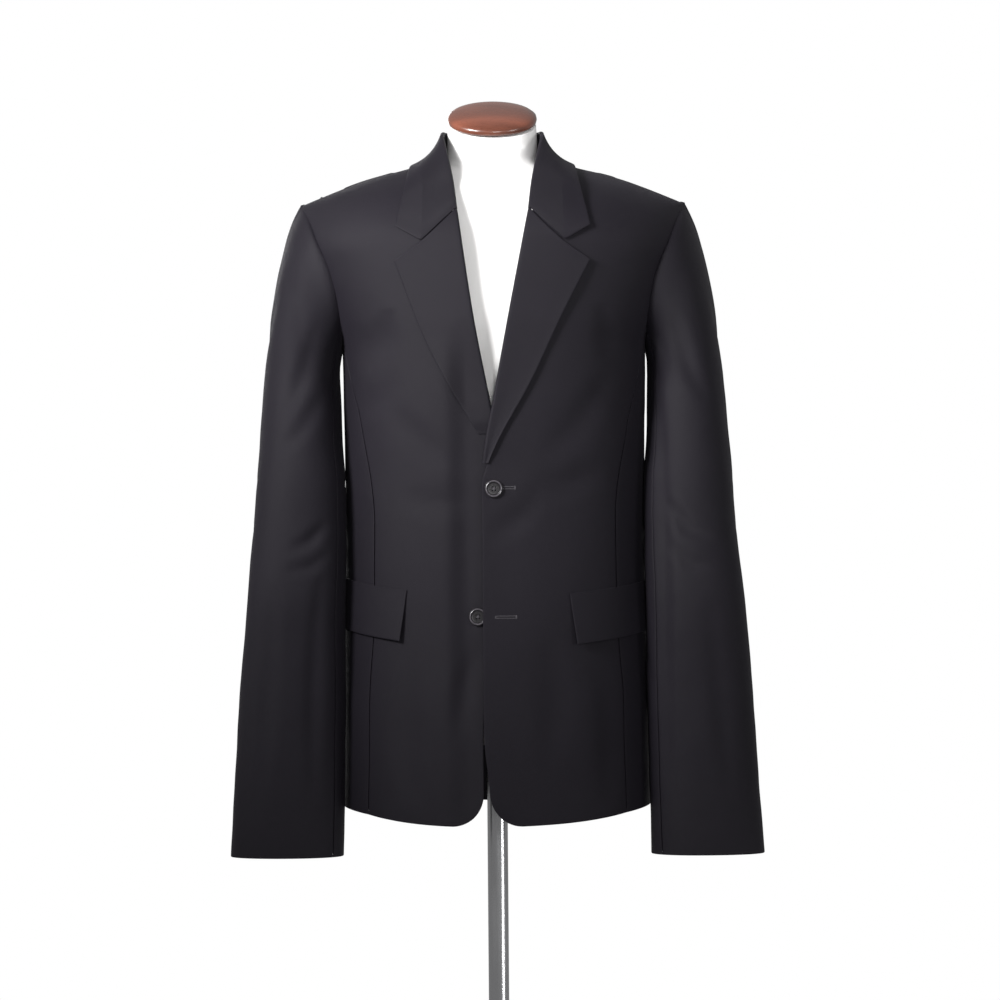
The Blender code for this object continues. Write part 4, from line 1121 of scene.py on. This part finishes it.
def make_sleeve(side, name):
    cell = bpy.context.scene.blazer_cloth.cell
    along = spaced(0, 1, TUBE_LENGTH, cell, (True, False))[:-1]
    along += spaced(1, 2, HEAD_LENGTH, cell, (False, True))
    fore, hind = UNDERSLEEVE
    spans = (
        ("top", hind - 360 + SLEEVE_SEAM, fore - SLEEVE_SEAM),
        ("under", fore + SLEEVE_SEAM, hind - SLEEVE_SEAM),
    )
    for part, first, last in spans:
        across = spaced(first, last, SLEEVE_DEGREE * (last - first), cell)
        kinds = ("seam", "seam", "free", "seam")
        sew(f"sleeve_{part}_{name}", across, along, sleeve_place(side), CLOTH, kinds, side > 0)


def make_flap(side, name):
    cell = bpy.context.scene.blazer_cloth.fine_cell
    across, along = spaced(0, 1, FLAP_LENGTH, cell), spaced(0, 1, FLAP_DEPTH, cell)
    kinds = ("free", "free", "free", "plain")
    sew(f"flap_{name}", across, along, flap_place(side), FACED_CLOTH, kinds, side < 0)


# --- Sewing and buttons ----------------------------------------------------------------------------------

THREAD = 0.00042  # thickness of the buttonhole thread
BUTTONHOLES = ((0.0108, 1.0828, 0.0250), (0.0112, 0.9413, 0.0250))  # middle x, height and length
BUTTONHOLE_HALF = 0.0019  # from the slit to the outer end of each stitch
SLIT_HALF = 0.00055  # from the middle of the slit to the inner end of each stitch
BUTTONHOLE_PITCH = 0.00062
STITCH_LIFT, STITCH_WOBBLE = 0.00012, 0.00009  # of a stitch above the cloth, and to and fro
BAR_STITCHES, BAR_WIDTH, BAR_GAP, BAR_LIFT = 5, 0.0011, 0.0007, 0.0002  # at the end without the eye
FAN_STITCHES, FAN_START = 9, 0.0002  # round the eye, and how far from its middle they start
BUTTON_FINE = (
    (0.0, 0.60),
    (0.56, 0.58),
    (0.70, 0.60),
    (0.755, 0.72),
    (0.79, 0.93),
    (0.83, 1.0),
    (0.87, 0.95),
    (0.91, 0.80),
    (1.0, 0.60),
    (0.97, 0.34),
    (0.85, 0.08),
    (0.60, 0.0),
    (0.0, 0.0),
)  # shares of the radius and the height
HOLE_RADIUS, HOLE_REACH = 0.00105, 0.0022
DRILL_DEPTH = 0.02  # enough to pass through a button
BUTTON_STAND_OFF = 0.0006  # from the cloth to the button's underside
BUTTON_WELL = 0.60  # share of a button's height at which its thread crosses
HIGHLIGHT_RING = (0.77, 0.89)  # shares of a button's radius between which its rim is painted pale as a highlight


def left_front_frame(x, height, out):
    """A place on the left front, with X across, Y up and Z out of the cloth."""
    turn = turn_at(x, height)
    normal = skin_normal(turn, height)
    across = (skin_point(turn + NUDGE, height) - skin_point(turn - NUDGE, height)).normalized()
    frame_axes = Matrix((across, normal.cross(across), normal)).transposed().to_4x4()
    return Matrix.Translation(skin_point(turn, height) + normal * out) @ frame_axes


def add_stitch(shape, start, end, thickness):
    """One stitch: a short eight sided bead of thread from start to end."""
    span = end - start
    turn = span.to_track_quat("Z", "Y").to_matrix().to_4x4()
    scale = Matrix.Diagonal((thickness / 2, thickness / 2, span.length / 2, 1.0))
    matrix = Matrix.Translation((start + end) / 2) @ turn @ scale
    bmesh.ops.create_uvsphere(shape, u_segments=8, v_segments=5, radius=1.0, matrix=matrix)


def add_buttonhole(shape, middle, height, length):
    """A worked buttonhole: stitches on both sides of the slit, a fan at its eye and a bar at its end."""
    half = length / 2 - BUTTONHOLE_HALF
    count = round(2 * half / BUTTONHOLE_PITCH)
    for index in range(count + 1):
        x = mix(-half, half, index / count)
        for way in (-1, 1):
            frame_there = left_front_frame(middle + x, height, STITCH_LIFT)
            wobble = STITCH_WOBBLE * math.sin(7.3 * index + way)
            start = frame_there @ Vector((0.0, way * SLIT_HALF, 0.0001))
            end = frame_there @ Vector((wobble, way * (BUTTONHOLE_HALF + wobble), 0.0))
            add_stitch(shape, start, end, THREAD * 1.3)
    for index in range(BAR_STITCHES):
        across = (index / (BAR_STITCHES - 1) - 0.5) * BAR_WIDTH
        frame_there = left_front_frame(middle + half + BAR_GAP + across, height, BAR_LIFT)
        top = Vector((0.0, BUTTONHOLE_HALF * 1.15, 0.0))
        add_stitch(shape, frame_there @ -top, frame_there @ top, THREAD * 1.4)
    frame_there = left_front_frame(middle - half, height, STITCH_LIFT)
    for index in range(FAN_STITCHES):
        angle = math.pi * (0.5 + index / (FAN_STITCHES - 1))
        out = Vector((math.cos(angle), math.sin(angle), 0.0))
        start, end = (frame_there @ (out * reach) for reach in (FAN_START, BUTTONHOLE_HALF))
        add_stitch(shape, start, end, THREAD * 1.3)


def make_buttonholes():
    for name, (middle, height, length) in zip(("buttonhole_top", "buttonhole_low"), BUTTONHOLES):
        shape = bmesh.new()
        add_buttonhole(shape, middle, height, length)
        add_object(name, shape, thread(), 180)


def spun(profile, steps):
    """A profile of radius and height, from the top of the axis down its outer side, spun round Z."""
    shape = bmesh.new()
    points = [shape.verts.new((radius, 0, height)) for radius, height in profile]
    edges = [shape.edges.new(pair) for pair in zip(points, points[1:])]
    bmesh.ops.spin(
        shape, geom=points + edges, cent=(0, 0, 0), axis=(0, 0, 1), angle=2 * math.pi, steps=steps,
        use_merge=True,
    )
    bmesh.ops.remove_doubles(shape, verts=shape.verts, dist=1e-6)
    bmesh.ops.recalc_face_normals(shape, faces=shape.faces)
    return shape


def pierced(shape, cutters):
    """The shape with holes cut through it by cylinders, given as places along Z."""
    body, tool = (bpy.data.meshes.new(word) for word in ("whole", "cutter"))
    shape.to_mesh(body)
    shape.free()
    drill = bmesh.new()
    for x, y in cutters:
        bmesh.ops.create_cone(
            drill, cap_ends=True, segments=20, radius1=HOLE_RADIUS, radius2=HOLE_RADIUS, depth=DRILL_DEPTH,
            matrix=Matrix.Translation((x, y, 0.0)),
        )
    drill.to_mesh(tool)
    drill.free()
    holder, bit = bpy.data.objects.new("whole", body), bpy.data.objects.new("cutter", tool)
    for piece in (holder, bit):
        bpy.context.scene.collection.objects.link(piece)
    cut = holder.modifiers.new("Holes", "BOOLEAN")
    cut.operation, cut.object, cut.solver = "DIFFERENCE", bit, "EXACT"
    bpy.context.view_layer.update()
    result = bmesh.new()
    result.from_object(holder, bpy.context.evaluated_depsgraph_get())
    for piece in (holder, bit):
        bpy.data.objects.remove(piece)
    bpy.data.meshes.remove(body)
    bpy.data.meshes.remove(tool)
    return result


def make_button(name, x, height, depth):
    """A four hole button with a raised rim and its thread, seated where its node is."""
    profile = [(BUTTON_RADIUS * out, BUTTON_HEIGHT * up) for out, up in BUTTON_FINE]
    reach = HOLE_REACH / math.sqrt(2)
    holes = [(reach * a, reach * b) for a in (-1, 1) for b in (-1, 1)]
    shape = pierced(spun(profile, 64), holes)
    facing = skin_normal(turn_at(x, height), height).to_track_quat("Z", "Y").to_matrix().to_4x4()
    seat = Matrix.Translation(front_point(x, height, depth + BUTTON_STAND_OFF)) @ facing
    bmesh.ops.transform(shape, matrix=seat, verts=shape.verts)
    # The faces of the raised rim take a pale finish, a painted highlight.
    highlight_faces = [
        face.index for face in shape.faces
        if HIGHLIGHT_RING[0] < (seat.inverted() @ face.calc_center_median()).xy.length / BUTTON_RADIUS < HIGHLIGHT_RING[1]
    ]
    button = add_object(name, shape, horn(), 35)
    button.data.materials.append(polished_rim())
    for index in highlight_faces:
        button.data.polygons[index].material_index = 1
    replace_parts(button, name)
    sewn = bmesh.new()
    top = BUTTON_HEIGHT * BUTTON_WELL
    for way in (-1, 1):
        for strand in (-1, 0, 1):
            offset = Vector((-way * strand, strand, 0.0)) * THREAD * 0.7
            start = Vector((-reach, -way * reach, top)) + offset
            add_stitch(sewn, seat @ start, seat @ (Vector((reach, way * reach, top)) + offset), THREAD * 1.5)
    add_object(f"{name}_thread", sewn, thread(), 180)


# --- Dress form and stand --------------------------------------------------------------------------------

def form_point(turn, height):
    width = smooth(FORM, height, 1)
    depth = smooth(FORM, height, 2 if math.cos(turn) > 0 else 3)
    x = width * math.sin(turn)
    y = depth * max(0.0, 1 - abs(math.sin(turn)) ** FORM_SQUARENESS) ** (1 / FORM_SQUARENESS)
    if abs(x) > FORM_NECK_EDGE or height <= FORM_NECK_FOOT:
        on_back = math.cos(turn) <= 0
        cloth = skin_point(turn_at(x, height + FORM_UNDER, on_back), height + FORM_UNDER)
        y = min(y, abs(cloth.y - SHOULDER_SEAM_Y) * FORM_CLEAR)
    return Vector((x, -math.copysign(y, math.cos(turn)), height))


def make_torso():
    columns, rows = 112, 120
    foot, top = FORM[0][0] + FORM_SEAT, FORM[-1][0]
    shape = bmesh.new()
    metres = shape.loops.layers.uv.new("Metres")
    bmesh.ops.create_grid(shape, x_segments=columns, y_segments=rows, size=0.5)
    for face in shape.faces:
        for loop in face.loops:
            loop[metres].uv = ((loop.vert.co.x + 0.5) * FORM_GIRTH, loop.vert.co.y * (top - foot))
    for vertex in shape.verts:
        row = vertex.co.y + 0.5
        height = mix(foot, top, row)
        point = form_point(2 * math.pi * (vertex.co.x + 0.5), height)
        slant = CAP_CENTRE[2] - CAP_UNDER + point.y * math.tan(CAP_TILT)
        share = max(0.0, (height - SLANT_START) / (top - SLANT_START))
        point.z = mix(height, SLANT_START + (slant - SLANT_START) * share, ease(2 * share))
        vertex.co = point
    bmesh.ops.remove_doubles(shape, verts=shape.verts, dist=1e-6)
    bmesh.ops.holes_fill(shape, edges=shape.edges, sides=columns)
    bmesh.ops.recalc_face_normals(shape, faces=shape.faces)
    torso = add_object("form_torso", shape, linen())
    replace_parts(torso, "form_torso")


def make_cap():
    profile = [CAP_PROFILE[0]]
    for (radius, height), (next_radius, next_height) in zip(CAP_PROFILE, CAP_PROFILE[1:]):
        for share in (0.5, 1.0):
            profile.append((mix(radius, next_radius, share), mix(height, next_height, share)))
    shape = spun(profile, 96)
    place = Matrix.Translation(CAP_CENTRE) @ Matrix.Rotation(CAP_TILT, 4, "X")
    bmesh.ops.transform(shape, matrix=place, verts=shape.verts)
    cap = add_object("form_cap", shape, varnished_wood(), 60)
    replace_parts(cap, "form_cap")


def make_stand():
    foot = BASE_PROFILE[0][1] + SEAM_HALF
    length = FORM[0][0] - foot
    shape = bmesh.new()
    middle = Matrix.Translation((0, 0, foot + length / 2))
    bmesh.ops.create_cone(
        shape, cap_ends=True, segments=64, radius1=POLE_RADIUS, radius2=POLE_RADIUS, depth=length,
        matrix=middle,
    )
    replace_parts(add_object("stand_pole", shape, steel(), 30), "stand_pole")
    base = add_object("stand_base", spun(BASE_PROFILE, 128), painted_iron(), 60)
    soft = base.modifiers.new("Edges", "BEVEL")
    soft.width, soft.segments, soft.limit_method, soft.angle_limit = 0.0012, 3, "ANGLE", math.radians(28)
    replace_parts(base, "stand_base")


# --- Stage -----------------------------------------------------------------------------------------------

SENSOR = 36.0
EYE = (0.0056, 1.0695)  # the camera's x and height
FLOOR_RADIUS, FLOOR_DROP = 3.3, 0.0005
# Lights: name, place, target, size, spread in degrees
LIGHTS = (
    ("key", (-1.45, -1.35, 2.05), (-0.08, -0.10, 1.40), 0.7, 38),
    ("front", (0.5, -3.3, 1.7), (0.0, 0.0, 1.45), 1.0, 28),
    ("fill", (2.4, -2.0, 1.5), (0.0, 0.0, 1.38), 1.0, 36),
    ("rim", (-1.0, 3.0, 2.0), (0.0, 0.0, 1.15), 1.2, 120),
    ("glint", (1.3, -0.9, 0.36), (0.0, 0.0, 0.36), 0.60, 16),
)


def add_light(name, place, target, size, spread, power):
    lamp = bpy.data.lights.new(name, "AREA")
    lamp.energy, lamp.size, lamp.spread = power, size, math.radians(spread)
    light = bpy.data.objects.new(name, lamp)
    light.location = place
    light.rotation_euler = (Vector(target) - Vector(place)).to_track_quat("-Z", "Y").to_euler()
    bpy.context.scene.collection.objects.link(light)


@made_once
def pale_floor(name):
    finish = Finish(name, {"Roughness": 0.7})
    grain = finish.noise(finish.object_place(), 30.0, 3.0)
    finish.feed("Base Color", finish.blend(grain, (0.86, 0.86, 0.86, 1.0), (0.90, 0.90, 0.90, 1.0)))
    return finish.material


def make_stage():
    scene = bpy.context.scene
    settings = scene.blazer_stage
    shape = bmesh.new()
    bmesh.ops.create_circle(shape, cap_ends=True, segments=96, radius=FLOOR_RADIUS)
    mesh = bpy.data.meshes.new("floor")
    shape.to_mesh(mesh)
    shape.free()
    mesh.materials.append(pale_floor())
    floor = bpy.data.objects.new("floor", mesh)
    floor.location.z = -FLOOR_DROP
    scene.collection.objects.link(floor)

    world = bpy.data.worlds.new("studio")
    world.use_nodes = True
    nodes, links = world.node_tree.nodes, world.node_tree.links
    nodes["Background"].inputs["Color"].default_value = (1.0, 1.0, 1.0, 1.0)
    shown = nodes.new("ShaderNodeLightPath")
    strength = nodes.new("ShaderNodeMapRange")
    strength.inputs["To Min"].default_value = settings.surround
    strength.inputs["To Max"].default_value = settings.backdrop
    links.new(shown.outputs["Is Camera Ray"], strength.inputs["Value"])
    links.new(strength.outputs["Result"], nodes["Background"].inputs["Strength"])
    scene.world = world
    scene.view_settings.view_transform = "Standard"

    for light in LIGHTS:
        add_light(*light, getattr(settings, light[0]))

    lens = bpy.data.cameras.new("camera")
    lens.lens = SENSOR * settings.distance / settings.frame_width
    lens.sensor_width = SENSOR
    camera = bpy.data.objects.new("camera", lens)
    camera.location = (EYE[0], -settings.distance, EYE[1])
    level = Matrix.Rotation(math.radians(90), 4, "X")
    camera.rotation_euler = (level @ Matrix.Rotation(settings.lean, 4, "Z")).to_euler()
    scene.collection.objects.link(camera)
    scene.camera = camera


# --- Add-on ----------------------------------------------------------------------------------------------

def length_property(name, description, default):
    return bpy.props.FloatProperty(
        name=name, description=description, default=default, min=0.0, precision=5, subtype="DISTANCE",
        unit="LENGTH",
    )


def share_property(name, description, default, most=1.0):
    return bpy.props.FloatProperty(
        name=name, description=description, default=default, min=0.0, max=most, subtype="FACTOR"
    )


def colour_property(name, description, default):
    return bpy.props.FloatVectorProperty(
        name=name, description=description, default=default, min=0.0, max=1.0, size=3, subtype="COLOR"
    )


def power_property(name, description, default):
    return bpy.props.FloatProperty(
        name=name, description=description, default=default, min=0.0, subtype="POWER"
    )


class BlazerClothSettings(bpy.types.PropertyGroup):
    cell: length_property("Cell", "Size of the grid on the body and the sleeves", 0.0050)
    fine_cell: length_property("Fine cell", "Size of the grid on lapels, collar and flaps", 0.0028)
    unevenness: length_property("Unevenness", "How far the cloth wanders from a smooth form", 0.0012)
    crease_strength: share_property("Crease strength", "Share of every crease's full depth", 1.0, 2.0)


class BlazerFinishSettings(bpy.types.PropertyGroup):
    wool: colour_property("Wool", "Middle tone of the wool", (0.0074, 0.0060, 0.0096))
    wool_gloss: share_property("Wool gloss", "Specular level of the wool", 0.5)
    wool_index: bpy.props.FloatProperty(
        name="Wool index", description="Index of refraction of the nap, near 1 for a dull cloth",
        default=1.25, min=1.0, max=1.6,
    )
    wool_sheen: share_property("Wool sheen", "How strongly the nap catches light from the side", 0.02)
    wool_roughness: share_property("Wool roughness", "Middle roughness of the wool", 0.62)
    twill: length_property("Twill", "Distance between two ribs of the twill", 0.0011)
    thread: colour_property("Thread", "Buttonhole thread", (0.026, 0.022, 0.030))
    horn: colour_property("Horn", "Darkest tone of the buttons", (0.004, 0.0035, 0.0042))
    linen: colour_property("Linen", "Cover of the form", (0.86, 0.85, 0.84))
    linen_thread: length_property("Linen thread", "Distance between two threads of the cover", 0.0009)
    wood: colour_property("Wood", "Middle tone of the neck cap", (0.135, 0.040, 0.022))
    steel: colour_property("Steel", "Pole", (0.46, 0.46, 0.47))
    iron: colour_property("Iron", "Paint of the foot", (0.028, 0.028, 0.030))


class BlazerStageSettings(bpy.types.PropertyGroup):
    distance: length_property("Distance", "From the camera to the form's axis", 4.0)
    frame_width: length_property("Frame width", "Width of the picture at the form's axis", 1.13)
    lean: bpy.props.FloatProperty(
        name="Lean", description="Roll of the camera", default=math.radians(-0.46), subtype="ANGLE",
        unit="ROTATION",
    )
    backdrop: share_property("Backdrop", "Brightness of the white backdrop", 1.0, 4.0)
    surround: share_property("Surround", "Brightness of the soft light from all round", 0.34, 4.0)
    key: power_property("Key", "Power of the large light at the upper left", 7.0)
    front: power_property("Front", "Power of the even light beside the camera", 1.75)
    fill: power_property("Fill", "Power of the light at the right", 1.35)
    rim: power_property("Rim", "Power of the light behind", 8.0)
    glint: power_property("Glint", "Power of the narrow light on the pole", 0.45)


class BLAZER_OT_body(bpy.types.Operator):
    """Cut and place the fronts, side panels and backs"""
    bl_idname = "blazer.body"
    bl_label = "Body panels"

    def execute(self, context):
        for side, name in SIDES:
            make_panels(side, name)
        return {"FINISHED"}


class BLAZER_OT_lapels(bpy.types.Operator):
    """Roll both lapels out from the fronts"""
    bl_idname = "blazer.lapels"
    bl_label = "Lapels"

    def execute(self, context):
        for side, name in SIDES:
            make_lapel(side, name)
        return {"FINISHED"}


class BLAZER_OT_collar(bpy.types.Operator):
    """Lay the collar round the neck"""
    bl_idname = "blazer.collar"
    bl_label = "Collar"

    def execute(self, context):
        make_collar()
        return {"FINISHED"}


class BLAZER_OT_sleeves(bpy.types.Operator):
    """Set in both two piece sleeves"""
    bl_idname = "blazer.sleeves"
    bl_label = "Sleeves"

    def execute(self, context):
        for side, name in SIDES:
            make_sleeve(side, name)
        return {"FINISHED"}


class BLAZER_OT_flaps(bpy.types.Operator):
    """Hang the pocket flaps"""
    bl_idname = "blazer.flaps"
    bl_label = "Flaps"

    def execute(self, context):
        for side, name in SIDES:
            make_flap(side, name)
        return {"FINISHED"}


class BLAZER_OT_buttons(bpy.types.Operator):
    """Sew on the buttons and work the buttonholes"""
    bl_idname = "blazer.buttons"
    bl_label = "Buttons and buttonholes"

    def execute(self, context):
        make_button("button_top", *TOP_BUTTON, 0.0)
        make_button("button_low", *LOW_BUTTON, -smooth(UNDERLAP, LOW_BUTTON[1]))
        make_buttonholes()
        return {"FINISHED"}


class BLAZER_OT_torso(bpy.types.Operator):
    """Cover the dress form"""
    bl_idname = "blazer.torso"
    bl_label = "Torso"

    def execute(self, context):
        make_torso()
        return {"FINISHED"}


class BLAZER_OT_stand(bpy.types.Operator):
    """Turn the neck cap, the pole and the foot"""
    bl_idname = "blazer.stand"
    bl_label = "Cap and stand"

    def execute(self, context):
        make_cap()
        make_stand()
        return {"FINISHED"}


class BLAZER_OT_stage(bpy.types.Operator):
    """Set up the floor, the lights and the camera"""
    bl_idname = "blazer.stage"
    bl_label = "Stage"

    def execute(self, context):
        make_stage()
        return {"FINISHED"}


OPERATORS = (
    BLAZER_OT_body,
    BLAZER_OT_lapels,
    BLAZER_OT_collar,
    BLAZER_OT_sleeves,
    BLAZER_OT_flaps,
    BLAZER_OT_buttons,
    BLAZER_OT_torso,
    BLAZER_OT_stand,
    BLAZER_OT_stage,
)
GROUPS = (
    ("blazer_cloth", BlazerClothSettings),
    ("blazer_finish", BlazerFinishSettings),
    ("blazer_stage", BlazerStageSettings),
)


class BLAZER_PT_panel(bpy.types.Panel):
    """Lists the settings and the pieces"""
    bl_idname = "BLAZER_PT_panel"
    bl_label = "Blazer"
    bl_space_type = "VIEW_3D"
    bl_region_type = "UI"
    bl_category = "Blazer"

    def draw(self, context):
        for attribute, group in GROUPS:
            box = self.layout.box()
            for name in group.__annotations__:
                box.prop(getattr(context.scene, attribute), name)
        for operator in OPERATORS:
            self.layout.operator(operator.bl_idname)


CLASSES = tuple(group for _, group in GROUPS) + OPERATORS + (BLAZER_PT_panel,)


def register():
    for cls in CLASSES:
        bpy.utils.register_class(cls)
    for attribute, group in GROUPS:
        setattr(bpy.types.Scene, attribute, bpy.props.PointerProperty(type=group))


def unregister():
    for attribute, _ in GROUPS:
        delattr(bpy.types.Scene, attribute)
    for cls in reversed(CLASSES):
        bpy.utils.unregister_class(cls)


def main():
    register()
    bpy.ops.blazer.stage()
    bpy.ops.blazer.body()
    bpy.ops.blazer.lapels()
    bpy.ops.blazer.collar()
    bpy.ops.blazer.sleeves()
    bpy.ops.blazer.flaps()
    bpy.ops.blazer.buttons()
    bpy.ops.blazer.torso()
    bpy.ops.blazer.stand()


if __name__ == "__main__":
    main()
